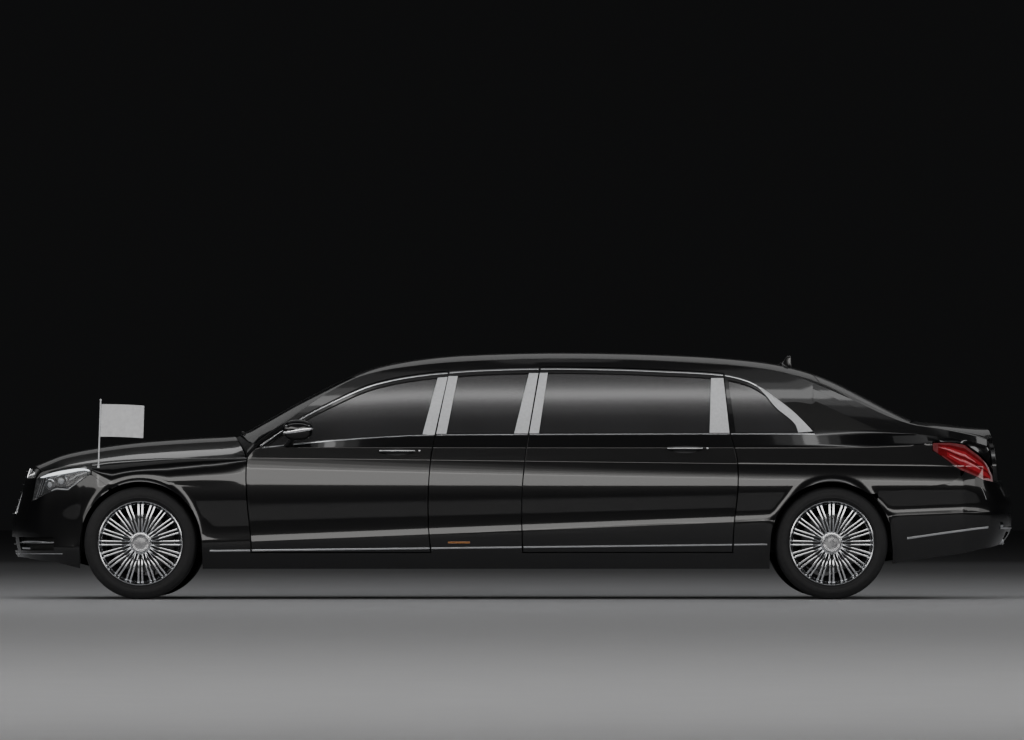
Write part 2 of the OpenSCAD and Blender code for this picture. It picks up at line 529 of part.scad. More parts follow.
// Quarter panel with the rear pillar: from the rear door to the tail, over the rear arch
tail_seam_x = 2876;
lamp_low_tab = [[2600, 956], [2692, 950], [2790, 884], [2895, 814]];
lamp_top_tab = [[2600, 1000], [2714, 1011], [2800, 1008], [2905, 1000]];
module quarter_panel() {
  hg = panel_gap / 2;
  xa = cut_x(cut_d, at_z(700)) + hg;
  tip = at_x(2690);
  xb = at_x(2872);
  xs = concat([for (i = [0:2]) mixed(xa, rear_axle_x - arch_r - 1.5, i / 2)],
    [for (k = [0:10]) rear_axle_x - arch_r * cos(mixed(0, 143, k / 10))],
    [for (i = [1:3]) mixed(rear_axle_x + arch_r * 0.8, tip, i / 3)], [for (i = [1:3]) mixed(tip, xb, i / 3)]);
  function low(x) =
    x < rear_axle_x - arch_r ? at_z(door_bottom_z) - hg + seat_gap
    : max(arch_z(x, rear_axle_x, tyre_r), x < rear_axle_x ? 0 : at_z(seg(seam_tab, from_x(x))));
  last = len(xs) - 1;
  function heights(x) = let (
      lo = low(x), l1 = at_z(curve(lamp_low_tab, from_x(x))), l2 = at_z(curve(lamp_top_tab, from_x(x))),
      zb = belt_z(x), top = x > at_x(1931) ? edge_z(x) - 40 - seat_gap : zb,
      lower = min(l1, zb - 60), upper = min(l2, zb - 16)
    )
    concat([for (j = [0:6]) mixed(lo, lower, j / 6)],
      [upper, mixed(upper, zb, 0.5), min(zb, top - 6), mixed(min(zb, top - 6), top, 0.5), top]);
  g = [for (j = [0:11]) [for (i = [0:last])
    let (
      x0 = xs[i], z = heights(x0)[j], zb = belt_z(x0),
      w = clamped((rear_axle_x - arch_r - x0) / (rear_axle_x - arch_r - xa), 0, 1),
      x = x0 + w * (cut_x(cut_d, min(z, zb)) + hg - xa)
    )
    z > zb ? [x, -cabin_y(x, z), z] : [x, -side_y(x, z), z]]];
  shell_cut(g, shifted(g, [0, panel_t, 0]), [for (j = [0:10]) [for (i = [0:last - 1]) !(j == 6 && i >= last - 3)]]);
  q = quarter_open;
  edge_post([cut_x(cut_d, at_z(1066)) + hg, q[0][1]], cut_x(cut_d, at_z(1446)) + hg, q[0], q[2][0]);
  tail_corner();
}
// Corner of the body above the tail lamp, from the quarter panel round to the trunk lid
module tail_corner() {
  n = 6;
  xq = at_x(2872);
  g = [for (j = [0:4]) [for (i = [0:n])
    let (
      s = mixed(1.028, 0.72, i / n), top_x = mixed(xq, at_x(3050), i / n), ze = edge_z(top_x) - 40 - seat_gap,
      low = tail_pt(s, mixed(at_z(curve(lamp_top_tab, 2872)), at_z(850), pow(i / n, 1.3))),
      high = [top_x, -cabin_y(top_x, ze), ze], p = mixed(low, high, j / 4)
    )
    i == 0 ? let (z = mixed(at_z(curve(lamp_top_tab, 2872)), ze, j / 4), zb = belt_z(xq))
      [xq, z > zb ? -cabin_y(xq, z) : -side_y(xq, z), z]
    : p + [6, -4, 14] * sin(180 * j / 4)]];
  shell(g, shifted(g, [-panel_t * 0.7, panel_t * 0.7, 0]));
}
// Post that carries the front door, and the hinge blocks of both doors
hinge_d = 45;
module door_hinge(cut, z, from_x, t) {
  face = cut_x(cut, z) + panel_gap / 2 + door_taper * hinge_d / door_t - seat_gap - 1;
  y = side_y(cut_x(cut, z), z) - hinge_d;
  translate([from_x, -y, z - 12]) cube([face - from_x, t, 24]);
}
module front_post() {
  xa = at_x(-1800);
  xb = at_x(-1706);
  z0 = at_z(door_bottom_z) - panel_gap / 2 + seat_gap;
  translate([xa, -at_y(885), z0]) cube([xb - xa, at_y(885) - at_y(800), at_z(850) - z0]);
  for (z = [at_z(480), at_z(760)]) door_hinge(cut_a, z, xb - 4, 14);
}
module side_frame() {
  color([0.02, 0.02, 0.025]) {
    front_post();
    for (z = [at_z(480), at_z(760)]) door_hinge(cut_c, z, cut_x(cut_c, z) - panel_gap / 2 - 4, 10);
    sill();
    middle_panel();
    roof_rail();
    quarter_panel();
  }
}
// Lower edge of the quarter panel behind the arch, where the bumper and the lamp begin
seam_tab = [[2330, 676], [2590, 713], [2794, 742], [2877, 789]];

// Hood, roof, screens and trunk lid
cowl_gap = panel_gap;
function hood_front(s) = at_x(-3100 + 80 * s * s);
function hood_rear(s) = at_x(-1796 + 92 * s * s);
function screen_base(s) = at_x(-1758 + 112 * s * s);
function header(s) = at_x(-1052 + 44 * s * s);
function roof_rear(s) = at_x(1930 + 50 * s * s);
function window_base(s) = at_x(2590 - 40 * s * s);
module hood() {
  g = [for (j = [-6:6]) let (s = j / 6) [for (i = [0:11])
    let (x = mixed(hood_front(s), hood_rear(s), i / 11), y = s * (hood_y(x) - panel_gap / 2))
    [x, y, hood_top(x, y)]]];
  color([0.02, 0.02, 0.025]) shell(g, shifted(g, [0, 0, -lid_t]));
}
// A panel of the roof line between two curved edges; its sides lie inside the rail's flush strip
// Its columns meet its sides where the rail has its own, so that the two lie evenly on each other
function roof_grid(front_edge, rear_edge, rows, side_gap) =
  let (
    a = front_edge[rows], b = rear_edge[rows],
    ts = concat([0], [for (x = rail_xs()) if (x > a + 12 && x < b - 12) (x - a) / (b - a)], [1]),
    us = [for (i = [0:len(ts) - 1]) if (i == 0 || ts[i] - ts[i - 1] > 0.004) ts[i]]
  )
  [for (j = [-rows:rows]) let (s = j / rows) [for (t = us)
    let (x = mixed(front_edge[abs(j)], rear_edge[abs(j)], t), y = s * (edge_y(x) - flush_w(x) - side_gap))
    [x, y, cabin_top(x, y)]]];
module roof_panel() {
  n = 5;
  g = roof_grid([for (j = [0:n]) header(j / n) + 4], [for (j = [0:n]) roof_rear(j / n) - 4], n, 5);
  color([0.02, 0.02, 0.025]) {
    shell(g, shifted(g, [0, 0, -lid_t]));
    antenna(at_x(1760));
  }
}
// Shark-fin aerial on the roof
module antenna(x) {
  translate([x, 0, centre_z(x) - 8]) hull() {
    translate([-62, 0, 0]) cylinder(r = 6, h = 4, $fn = 16);
    translate([30, 0, 0]) cylinder(r = 22, h = 4, $fn = 24);
    translate([40, 0, 54]) cylinder(r = 3, h = 2, $fn = 12);
  }
}
module windscreen() {
  n = 5;
  g = roof_grid([for (j = [0:n]) screen_base(j / n)], [for (j = [0:n]) header(j / n) - 1], n, 5);
  color([0.1, 0.1, 0.1, 0.5]) shell(g, shifted(g, [0, 0, -glass_t]));
}
module rear_window() {
  n = 5;
  g = roof_grid([for (j = [0:n]) roof_rear(j / n) + 1], [for (j = [0:n]) window_base(j / n)], n, 5);
  color([0.1, 0.1, 0.1, 0.5]) shell(g, shifted(g, [0, 0, -glass_t]));
}
lip_x = 3084;
lid_face = [[0, 3084, 1090], [0.2, 3104, 1040], [0.4, 3124, 1000], [1, 3176, 758]];
lid_side_y = [[0, 566], [0.2, 602], [0.4, 642], [0.7, 688], [0.85, 682], [1, 656]];
// The trunk lid: its deck from the rear window to the lip, and its rear face down to the bumper
function lid_deck(s, t) =
  let (
    x = mixed(window_base(s) + 12, at_x(lip_x), t), y = s * (edge_y(x) - flush_w(x) - 7 + 2 * t),
    lip = 10 * pow(t, 6)
  )
  [x, y, cabin_top(x, y) + lip];
function lid_back(s, t) =
  let (
    top = lid_deck(s, 1), f = curve([for (p = lid_face) [p[0], p[1]]], t),
    z = curve([for (p = lid_face) [p[0], p[2]]], t), w = curve(lid_side_y, t) / 566
  )
  [top[0] + at_x(f) - at_x(lip_x) - 60 * s * s * t, top[1] * w, remap(at_z(z), at_z(758), at_z(1090), at_z(758), top[2])];
module trunk_lid() {
  n = 6;
  outer = [for (j = [-n:n]) let (s = j / n) concat(
    [for (i = [0:7]) lid_deck(s, i / 7)], [for (i = [1:6]) lid_back(s, i / 6)])];
  inner = [for (r = outer) [for (i = [0:len(r) - 1])
    r[i] + (i < 7 ? [0, 0, -lid_t] : i == 7 ? [-lid_t, 0, -lid_t] : [-lid_t, 0, 0])]];
  color([0.02, 0.02, 0.025]) shell(outer, inner);
}
// Cowl between the hood and the windscreen, with its two wipers
module cowl() {
  n = 6;
  g = [for (j = [-n:n]) let (s = j / n) [for (i = [0:3])
    let (
      t = i / 3, x = mixed(hood_rear(s) + cowl_gap, screen_base(s) - 7, t), y = s * (hood_y(x) - 53),
      z = mixed(hood_top(hood_rear(s), y), cabin_top(screen_base(s), s * (edge_y(screen_base(s)) - 60)), t)
    )
    [x, y, z - 12]]];
  color([0.03, 0.03, 0.03]) {
    shell(g, shifted(g, [0, 0, -20]));
    for (side = [-1, 1]) wiper(side * 60 - 240, side);
  }
}
module wiper(y, side) {
  for (k = [0:3]) {
    y0 = y + k * 137.5;
    y1 = y0 + 137.5;
    x0 = at_x(-1752 + 112 * pow(y0 / 800, 2));
    x1 = at_x(-1752 + 112 * pow(y1 / 800, 2));
    hull() {
      translate([x0, y0, cabin_top(x0, y0) + 12]) cube([12, 2, 10], center = true);
      translate([x1, y1, cabin_top(x1, y1) + 12]) cube([12, 2, 10], center = true);
    }
  }
}

// Bumpers, grille and lamps
function seg(tab, v) = let (i = slot_of(tab, v), t = clamped((v - tab[i][0]) / (tab[i + 1][0] - tab[i][0]), 0, 1))
  mixed(tab[i][1], tab[i + 1][1], t);
grille_half = 352;
// Edges of the front bumper by place round the nose: bottom, and top under grille, lamp and fender
nose_low_tab = [[0, 272], [0.5, 266], [0.85, 236], [1.013, 198], [1.2, 198]];
nose_top_tab = [[0, 545.5], [0.352, 545.5], [0.356, 776], [0.585, 776], [0.6, 622], [0.75, 671],
  [0.84, 698.4], [0.93, 693.4], [1.03, 764.4], [1.084, 801.8], [1.1, 792], [1.218, 704.4]];
lamp_s_tab = [0.606, 0.66, 0.75, 0.84, 0.93, 1.0, 1.045, 1.084];
function nose_inward(s, t) = let (a = clamped(s, 0, 1)) [t * (1 - a * a), t * a, 0];
function flip(p, side) = [p[0], side * p[1], p[2]];
function nose_any(s, z) = flip(nose_pt(abs(s), z), s < 0 ? -1 : 1);
function nose_in_any(s, t) = flip(nose_inward(abs(s), t), s < 0 ? -1 : 1);
module front_bumper() {
  half = [0, 0.17, 0.352, 0.356, 0.44, 0.585, 0.6, 0.68, 0.76, 0.84, 0.93, 1.013, 1.019, 1.03, 1.048, 1.066, 1.084,
    1.1, 1.13, 1.165, 1.2];
  ss = concat([for (i = [len(half) - 1:-1:1]) half[i]], [for (v = half) -v]);
  function low(a) = let (x = nose_pt(a, 300)[0])
    x > front_axle_x - arch_r ? arch_z(x, front_axle_x, 0) : at_z(seg(nose_low_tab, a));
  function level(a, j) = let (lo = low(a), hi = at_z(seg(nose_top_tab, a)), z1 = at_z(312), z2 = at_z(398))
    lo > z1 - 30 || a > 1 ? mixed(lo, hi, j / 7)
    : j == 0 ? lo : j == 1 ? z1 : j == 2 ? mixed(z1, z2, 0.5) : j == 3 ? z2 : mixed(z2, hi, (j - 3) / 4);
  g = [for (j = [0:7]) [for (s = ss) nose_any(s, level(abs(s), j))]];
  inner = [for (j = [0:7]) [for (i = [0:len(ss) - 1]) g[j][i] + nose_in_any(ss[i], panel_t)]];
  open_s = [for (i = [0:len(ss) - 2]) let (a = abs(ss[i] + ss[i + 1]) / 2) a < 0.35 || (a > 0.45 && a < 0.84)];
  color([0.02, 0.02, 0.025])
    shell_cut(g, inner, [for (j = [0:6]) [for (o = open_s) !((j == 1 || j == 2) && o)]]);
  color([0.02, 0.02, 0.025]) for (m = [0, 1]) mirror([0, m, 0]) nose_cap();
}
// Top of the nose between the grille and the headlamp, up to the hood's front edge
module nose_cap() {
  n = 3;
  g = [for (j = [0:2]) [for (i = [n:-1:0])
    let (
      s = mixed(0.358, 0.583, i / n), low = nose_pt(s, at_z(775)) + [1, 0, 0],
      y = mixed(at_y(362), at_y(466), i / n), x = hood_front(y / hood_y(hood_front(0.9))) - panel_gap,
      high = [x, -y, hood_top(x, min(y, hood_y(x))) - 1]
    )
    mixed(low, high, j / 2)]];
  shell(g, shifted(g, [4, 0, -14]));
}
tail_low_tab = [[0, 362], [0.5, 352], [0.85, 320], [1, 296], [1.3, 256], [1.47, 228], [1.6, 226]];
tail_top_tab = [[0, 744], [0.62, 743], [0.68, 747.2], [0.83, 763.4], [1, 817.4], [1.023, 788.4], [1.106, 741.4],
  [1.31, 712.4], [1.57, 675.4]];
function tail_any(s, z) = flip(tail_pt(abs(s), z), s < 0 ? 1 : -1);
function tail_in_any(s, t) = flip(let (a = clamped(abs(s), 0, 1)) [-t * (1 - a * a), t * a, 0], s < 0 ? 1 : -1);
module rear_bumper() {
  half = [0, 0.2, 0.38, 0.5, 0.62, 0.68, 0.73, 0.78, 0.83, 0.92, 1, 1.023, 1.106, 1.2, 1.31, 1.42, 1.465, 1.474, 1.499,
    1.54, 1.562];
  ss = concat([for (i = [len(half) - 1:-1:1]) half[i]], [for (v = half) -v]);
  function low(a) = let (x = tail_pt(a, 300)[0])
    x < rear_axle_x + arch_r ? arch_z(x, rear_axle_x, 0) : at_z(seg(tail_low_tab, a));
  function level(a, j) = let (lo = low(a), hi = at_z(seg(tail_top_tab, a)), z2 = at_z(432))
    a > 1.4 ? mixed(lo, hi, j / 7) : j < 2 ? mixed(lo, z2, j / 2) : mixed(z2, hi, (j - 2) / 5);
  g = [for (j = [0:7]) [for (s = ss) flip(tail_any(s, level(abs(s), j)), 1)]];
  inner = [for (j = [0:7]) [for (i = [0:len(ss) - 1]) g[j][i] + tail_in_any(ss[i], panel_t)]];
  open_s = [for (i = [0:len(ss) - 2]) let (a = abs(ss[i] + ss[i + 1]) / 2) a > 0.38 && a < 0.5];
  color([0.02, 0.02, 0.025])
    shell_cut(g, inner, [for (j = [0:6]) [for (o = open_s) !(j < 2 && o)]]);
}
// A pad round the nose that fills one of the bumper's lower openings, behind thin bars
module intake_bar(sa, sb, z, h, depth) {
  n = 6;
  g = [for (j = [0:1]) [for (i = [0:n]) let (s = mixed(sa, sb, i / n), p = nose_any(s, z + j * h))
    p + nose_in_any(s, 6)]];
  inner = [for (j = [0:1]) [for (i = [0:n]) g[j][i] + nose_in_any(mixed(sa, sb, i / n), depth)]];
  shell(g, inner);
}
// Upright grille: a raked surround in V plan, with slats and a middle bar
grille_low_z = 546;
grille_top_z = 838;
slats = 5;
function grille_x(y, z) = let (t = (z - at_z(grille_low_z)) / at_z(grille_top_z - grille_low_z))
  at_x(mixed(-3236, -3142, t)) + 0.12 * abs(y);
function grille_w(z) = mixed(at_y(300), at_y(348), clamped((z - at_z(560)) / at_z(200), 0, 1));
module v_bar(z, h, depth, half, set_back = 0) {
  n = 2;
  g = [for (j = [0:1]) [for (i = [-n:n]) let (y = -half * i / n, zz = z + j * h) [grille_x(y, zz) + set_back, y, zz]]];
  shell(g, shifted(g, [depth, 0, 0]));
}
module grille() {
  z0 = at_z(grille_low_z);
  z1 = at_z(grille_top_z);
  color([0.8, 0.8, 0.82]) {
    v_bar(z0, 16, 26, grille_w(z0));
    v_bar(z1 - 18, 18, 26, grille_w(z1 - 18));
    for (k = [1:slats]) let (z = mixed(z0, z1, k / (slats + 1))) v_bar(z - 5, 10, 14, grille_w(z) - 10, 8);
    for (side = [-1, 1]) {
      g = [for (j = [0:6]) let (z = mixed(z0, z1, j / 6), w = grille_w(z)) [for (i = [0:1])
        let (y = side * (w - 20 + (side * i + (1 - side) / 2) * 20)) [grille_x(y, z), -y, z]]];
      shell(g, shifted(g, [26, 0, 0]));
    }
    intake_bar(-0.3516, 0.3516, at_z(350), 8, 10);
    for (side = [-1, 1]) intake_bar(side < 0 ? -0.8395 : 0.4405, side < 0 ? -0.4405 : 0.8395, at_z(358), 8, 10);
  }
}
lamp_low = [[0.606, 627], [0.75, 672], [0.84, 700], [0.93, 695], [1.03, 766], [1.084, 803]];
lamp_high = [[0.606, 768], [0.66, 786], [0.75, 806], [0.84, 822], [0.93, 834], [1.0, 842], [1.045, 842], [1.084, 828]];
module headlamp() {
  n = len(lamp_s_tab) - 1;
  g = [for (j = [0:5]) [for (i = [n:-1:0])
    let (s = lamp_s_tab[i], p = nose_pt(s, mixed(at_z(seg(lamp_low, s)), at_z(seg(lamp_high, s)), j / 5)))
    flip(p, -1)]];
  inner = [for (j = [0:5]) [for (i = [n:-1:0]) g[j][n - i] + flip(nose_inward(lamp_s_tab[i], 26), -1)]];
  shell(g, inner);
}
module headlamps() { color([0.8, 0.8, 0.8]) for (m = [0, 1]) mirror([0, m, 0]) headlamp(); }
tail_low = [[0.68, 750], [0.83, 766], [1.0, 818], [1.03, 829], [1.11, 890], [1.206, 956]];
tail_high = [[0.68, 768], [0.78, 868], [0.88, 925], [1.0, 988], [1.03, 994], [1.1, 1003], [1.206, 1000]];
module tail_lamp() {
  ss = [1.206, 1.15, 1.1, 1.03, 1.0, 0.93, 0.88, 0.83, 0.78, 0.74, 0.7];
  n = len(ss) - 1;
  g = [for (j = [0:4]) [for (i = [0:n])
    let (s = ss[i]) tail_pt(s, mixed(at_z(seg(tail_low, s)), at_z(seg(tail_high, s)), j / 4))]];
  inner = [for (j = [0:4]) [for (i = [0:n]) g[j][i] + tail_in_any(ss[i], 22)]];
  shell(g, inner);
}
module tail_lamps() { color([0.7, 0.05, 0.05]) for (m = [0, 1]) mirror([0, m, 0]) tail_lamp(); }

// Glass of the middle panel and of the rear quarter
module fixed_glass() {
  pane(middle_open, top_drop = 1);
  pane(quarter_open, top_drop = 2.6);
}
module fixed_side_glass() { color([0.1, 0.1, 0.1, 0.5]) for (m = [0, 1]) mirror([0, m, 0]) fixed_glass(); }

// Exhaust with two silencers and two tips
tip_y = 438;
module exhaust() {
  z = at_z(384);
  color([0.7, 0.7, 0.72]) for (side = [-1, 1]) {
    translate([at_x(3166), side * at_y(tip_y), z]) rotate([0, -90, 0]) difference() {
      cylinder(r = pipe_r, h = 190);
      translate([0, 0, -1]) cylinder(r = pipe_r - 3, h = 150);
    }
    translate([at_x(3166) - 190, side * at_y(tip_y), z]) rotate([0, -90, 0]) cylinder(r = 78, h = 330);
    translate([at_x(3166) - 520, side * at_y(tip_y), z]) rotate([0, -90, 0]) cylinder(r = 26, h = 60);
    // Hanger under the boot floor
    translate([at_x(3166) - 380, side * at_y(tip_y) - 20, z + 70]) cube([60, 40, at_z(boot_z) - seat_gap - z - 70]);
  }
}

// Floor, bulkheads, wheel housings and boot floor
floor_z = 212;
rail_low_z = 420;
rail_h = 110;
boot_z = 470;
rear_bulkhead = 120;
rear_seat_back = 330;
floor_t = 30;
housing_t = 6;
module slab(xa, xb, half, z, t) { translate([xa, -half, z]) cube([xb - xa, 2 * half, t]); }
housing_low = 300;
module wheel_housing(axle, y_in, y_out, r, hub = 0) {
  for (side = [-1, 1]) intersection() {
    translate([axle, side * y_in, tyre_r]) rotate([-90 * side, 0, 0]) difference() {
      cylinder(r = r + housing_t, h = y_out - y_in);
      translate([0, 0, housing_t]) cylinder(r = r, h = y_out - y_in);
      translate([0, 0, -1]) cylinder(r = hub, h = housing_t + 2);
    }
    translate([axle - 600, -1000, at_z(housing_low)]) cube([1200, 2000, 600]);
  }
}
front_housing_y = track / 2 - 328;
rear_housing_y = track / 2 - 172;
rail_w = 84;
carrier_r = 70;
hf = front_axle_x + arch_r + 36;
hr = rear_axle_x - arch_r - 36;
floor0 = at_z(floor_z);
module floor_pan() {
  color([0.12, 0.12, 0.13]) {
    slab(hf, hr - 20 - seat_gap, at_y(sill_in) - seat_gap, floor0, floor_t);
    slab(at_x(-1868), hf + 8, at_y(470), floor0, floor_t);
  }
}
// Bulkhead in front of the cabin with the cowl's rest, the front rails and the radiator
module front_structure() {
  fire_x = at_x(-1868);
  cowl_x = hood_rear(0) + cowl_gap;
  cowl_z = hood_top(hood_rear(0), 0) - 33 - seat_gap;
  rail_y = front_housing_y - seat_gap;
  color([0.12, 0.12, 0.13]) {
    slab(fire_x, fire_x + 22, at_y(620), floor0 + floor_t + seat_gap, at_z(860) - floor0 - floor_t - seat_gap);
    slab(fire_x, cowl_x + 18, at_y(620), at_z(860) - 1, 20);
    slab(cowl_x + 2, cowl_x + 18, 60, at_z(860) + 18, cowl_z - at_z(860) - 18);
    for (side = [-1, 1]) translate([at_x(-3060), side < 0 ? -rail_y : rail_y - rail_w, at_z(rail_low_z)])
      cube([fire_x - at_x(-3060) + 10, rail_w, rail_h]);
    slab(at_x(-3080), at_x(-3040), at_y(440), at_z(300), at_z(420));
    // Rubber stops that the closed hood rests on
    for (side = [-1, 1]) translate([at_x(-2940), side * 440, at_z(rail_low_z) + rail_h - 1])
      cylinder(r = 8, h = hood_top(at_x(-2940) - 8, 448) - lid_t - 1 - at_z(rail_low_z) - rail_h + 1);
  }
}
// Bulkhead behind the rear seat, the floor over the rear axle, the boot floor and the parcel shelf
module rear_structure() {
  boot_x = rear_axle_x - rear_bulkhead;
  half = rear_housing_y - seat_gap;
  color([0.12, 0.12, 0.13]) {
    slab(boot_x - 4, boot_x + 16, at_y(560), floor0 + 90, at_z(1020) - floor0 - 90);
    slab(hr - 20, boot_x + 10, half, floor0 + 90, 24);
    slab(hr - 20, hr, half, floor0 + 4, 100);
    slab(boot_x, at_x(3120), at_y(560), at_z(boot_z), 24);
    slab(boot_x, at_x(2585), at_y(600), at_z(1020), 18);
  }
}
module front_housings() {
  color([0.05, 0.05, 0.05]) wheel_housing(front_axle_x, front_housing_y, at_y(806), arch_r + 18);
}
module rear_housings() {
  color([0.05, 0.05, 0.05]) wheel_housing(rear_axle_x, rear_housing_y, at_y(850), arch_r + 8, carrier_r + seat_gap);
}

// Cabin furniture
module side_profile(width, pts, y) {
  translate([0, y + width / 2, 0]) rotate([90, 0, 0]) linear_extrude(height = width) polygon(pts);
}
module dashboard() {
  xa = at_x(-1700);
  color([0.06, 0.06, 0.06]) {
    side_profile(2 * at_y(690), [[xa, 640], [xa + 60, 560], [xa + 180, 560], [xa + 330, 700], [xa + 380, 860],
      [xa + 330, 915], [xa + 120, 930], [xa, 880]], 0);
    // Tunnel and centre console
    side_profile(220, [[xa + 181, floor_z + floor_t + 0.3], [at_x(-460), floor_z + floor_t + 0.3], [at_x(-460), 560],
      [at_x(-900), 570], [xa + 320, 700], [xa + 181, 570]], 0);
    // Column of the steering wheel
    translate([xa + 340, -steer_y, at_z(828)]) rotate([0, 90 + steer_tilt, 0]) cylinder(r = 34, h = 148);
  }
}
steer_y = 385;
steer_tilt = -24;
steer_x = -1174;
steer_z = 894;
function steer_base() = [at_x(-1700) + 340, -steer_y, at_z(828)];
module steering_wheel() {
  color([0.05, 0.05, 0.05]) translate(steer_base()) rotate([0, 90 + steer_tilt, 0]) translate([0, 0, 148.3]) {
    cylinder(r = 62, h = 34);
    translate([0, 0, 24]) rotate_extrude($fn = 60) translate([steer_r - 15, 0]) circle(r = 15, $fn = 24);
    for (a = [0, 90, 180]) rotate(a) translate([40, -17, 16]) cube([steer_r - 62, 34, 12]);
  }
}
// A seat seen from the side: cushion, back and head restraint, facing forward or to the rear
module seat(x, y, width, facing, lift = 0) {
  z = at_z(floor_z) + floor_t;
  m = facing > 0 ? 1 : 0;
  translate([x, y, z]) mirror([m, 0, 0]) {
    side_profile(width, [[-30, 90 + lift], [40, 60 + lift], [440, 60 + lift], [500, 110 + lift], [500, 250 + lift],
      [450, 292 + lift], [60, 270 + lift], [-30, 262.8 + lift]], 0);
    side_profile(width - 8, [[-40, 262.3 + lift], [60, 270.3 + lift], [62, 300 + lift], [-90, 880], [-130, 905], [-190, 890], [-190, 850],
      [-130, 560], [-110, 300 + lift]], 0);
    side_profile(width * 0.44, [[-118, 906], [-88, 960], [-106, 1050], [-130, 1065], [-178, 1050], [-190, 960],
      [-172, 894.8], [-130, 905.3]], 0);
  }
}
module seat_base(xa, xb, y, width) {
  translate([xa, y - width / 2, at_z(floor_z) + floor_t + 0.3]) cube([xb - xa, width, 59.4]);
}
front_seat_x = -500;
partition_x = -303;
partition_t = 17;
module front_seats() {
  color([0.08, 0.08, 0.08]) for (side = [-1, 1]) {
    seat(at_x(front_seat_x), side * 385, 530, 1);
    seat_base(at_x(front_seat_x) - 430, at_x(front_seat_x) - 60, side * 385, 400);
  }
}
module rear_seats() {
  facing_x = at_x(partition_x) + partition_t + 191;
  color([0.08, 0.08, 0.08]) {
    seat(facing_x, 0, 1180, -1);
    seat_base(facing_x + 60, facing_x + 430, 0, 1000);
    seat(rear_axle_x - rear_seat_back, 0, 1180, 1, 24.3);
    translate([rear_axle_x - rear_seat_back - 440, -500, at_z(floor_z) + floor_t + 0.3])
      cube([300, 1000, 83.7]);
  }
}
module partition() {
  z0 = at_z(floor_z) + floor_t + 0.3;
  color([0.1, 0.1, 0.1]) translate([at_x(partition_x), 0, 0]) rotate([90, 0, 90])
    linear_extrude(height = partition_t) difference() {
      polygon([[-730, z0], [730, z0], [740, at_z(1000)], [600, at_z(1425)], [-600, at_z(1425)], [-740, at_z(1000)]]);
      polygon([[-640, at_z(1060)], [640, at_z(1060)], [545, at_z(1370)], [-545, at_z(1370)]]);
    }
}
module engine_block() {
  color([0.25, 0.25, 0.26]) side_profile(600, [[at_x(-2560), 350], [at_x(-1920), 350], [at_x(-1920), 700],
    [at_x(-2000), 800], [at_x(-2520), 800], [at_x(-2560), 740]], 0);
  // Its mounts on the front rails
  color([0.25, 0.25, 0.26]) let (half = front_housing_y - 2 * seat_gap - rail_w)
    translate([at_x(-2300), -half, at_z(rail_low_z) + 20]) cube([80, 2 * half, 40]);
}

// Wheel carriers. The front ones turn about an upright kingpin.
kingpin_y = track / 2 - 42;
hub_face = 30;
spigot_l = 46;
disc_t = 28;
arm_l = 150;
module front_subframe() {
  color([0.1, 0.1, 0.1]) {
    translate([front_axle_x - 120, -400, 236]) cube([240, 800, 60]);
    for (side = [-1, 1]) {
      translate([front_axle_x - 22, side < 0 ? -kingpin_y + 60 : 398, 240]) cube([44, kingpin_y - 458, 34]);
      translate([front_axle_x, side * (kingpin_y - 60), 240]) cylinder(r = 26, h = 34);
      translate([front_axle_x - 60, side * 425 - 25, 236]) cube([120, 50, at_z(rail_low_z) - 236 - seat_gap]);
    }
  }
}
module rear_subframe() {
  color([0.1, 0.1, 0.1]) {
    translate([rear_axle_x - 110, -470, 262]) cube([220, 940, 38]);
    translate([rear_axle_x, 0, tyre_r]) sphere(r = 96);
    for (side = [-1, 1]) {
      translate([rear_axle_x, side * 60, tyre_r]) rotate([-90 * side, 0, 0]) cylinder(r = 30, h = 500);
      translate([rear_axle_x - 45, side < 0 ? -600 : 440, 262]) cube([90, 160, 60]);
      translate([rear_axle_x, side * 560, tyre_r]) rotate([-90 * side, 0, 0]) {
        cylinder(r = carrier_r, h = track / 2 - 560 - tyre_w / 2 + 60);
        cylinder(r = spigot_r, h = track / 2 + hub_face + spigot_l - 560);
      }
    }
  }
}
// Carrier, stub and brake caliper of a front wheel; the wheel runs on the stub
module knuckle(side) {
  yc = track / 2;
  color([0.35, 0.35, 0.36]) {
    translate([front_axle_x, side * (kingpin_y - 60), 274 + seat_gap])
      cylinder(r = 24, h = tyre_r - 274 + 90);
    translate([front_axle_x, side * (kingpin_y - 90), tyre_r]) rotate([-90 * side, 0, 0]) {
      cylinder(r = 60, h = yc - kingpin_y + 66);
      cylinder(r = spigot_r, h = yc - kingpin_y + 90 + hub_face + spigot_l);
    }
    translate([front_axle_x, side * (kingpin_y - 60) - 16, tyre_r - 14]) cube([arm_l, 32, 28]);
    // Caliper, a block round the disc's rear edge, carried by a bracket
    translate([front_axle_x + 30, side < 0 ? -yc + 77 : yc - 129, tyre_r - 30]) cube([disc_r - 20, 52, 60]);
    translate([front_axle_x, side * (yc - 82), tyre_r]) rotate([-90 * side, 0, 0]) intersection() {
      difference() {
        cylinder(r = disc_r + 24, h = 84);
        translate([0, 0, -1]) cylinder(r = disc_r - 62, h = 86);
        translate([0, 0, 42 - disc_t / 2 - 2]) cylinder(r = disc_r + 5, h = disc_t + 4);
      }
      translate([60, -74, -1]) cube([200, 148, 90]);
    }
  }
}

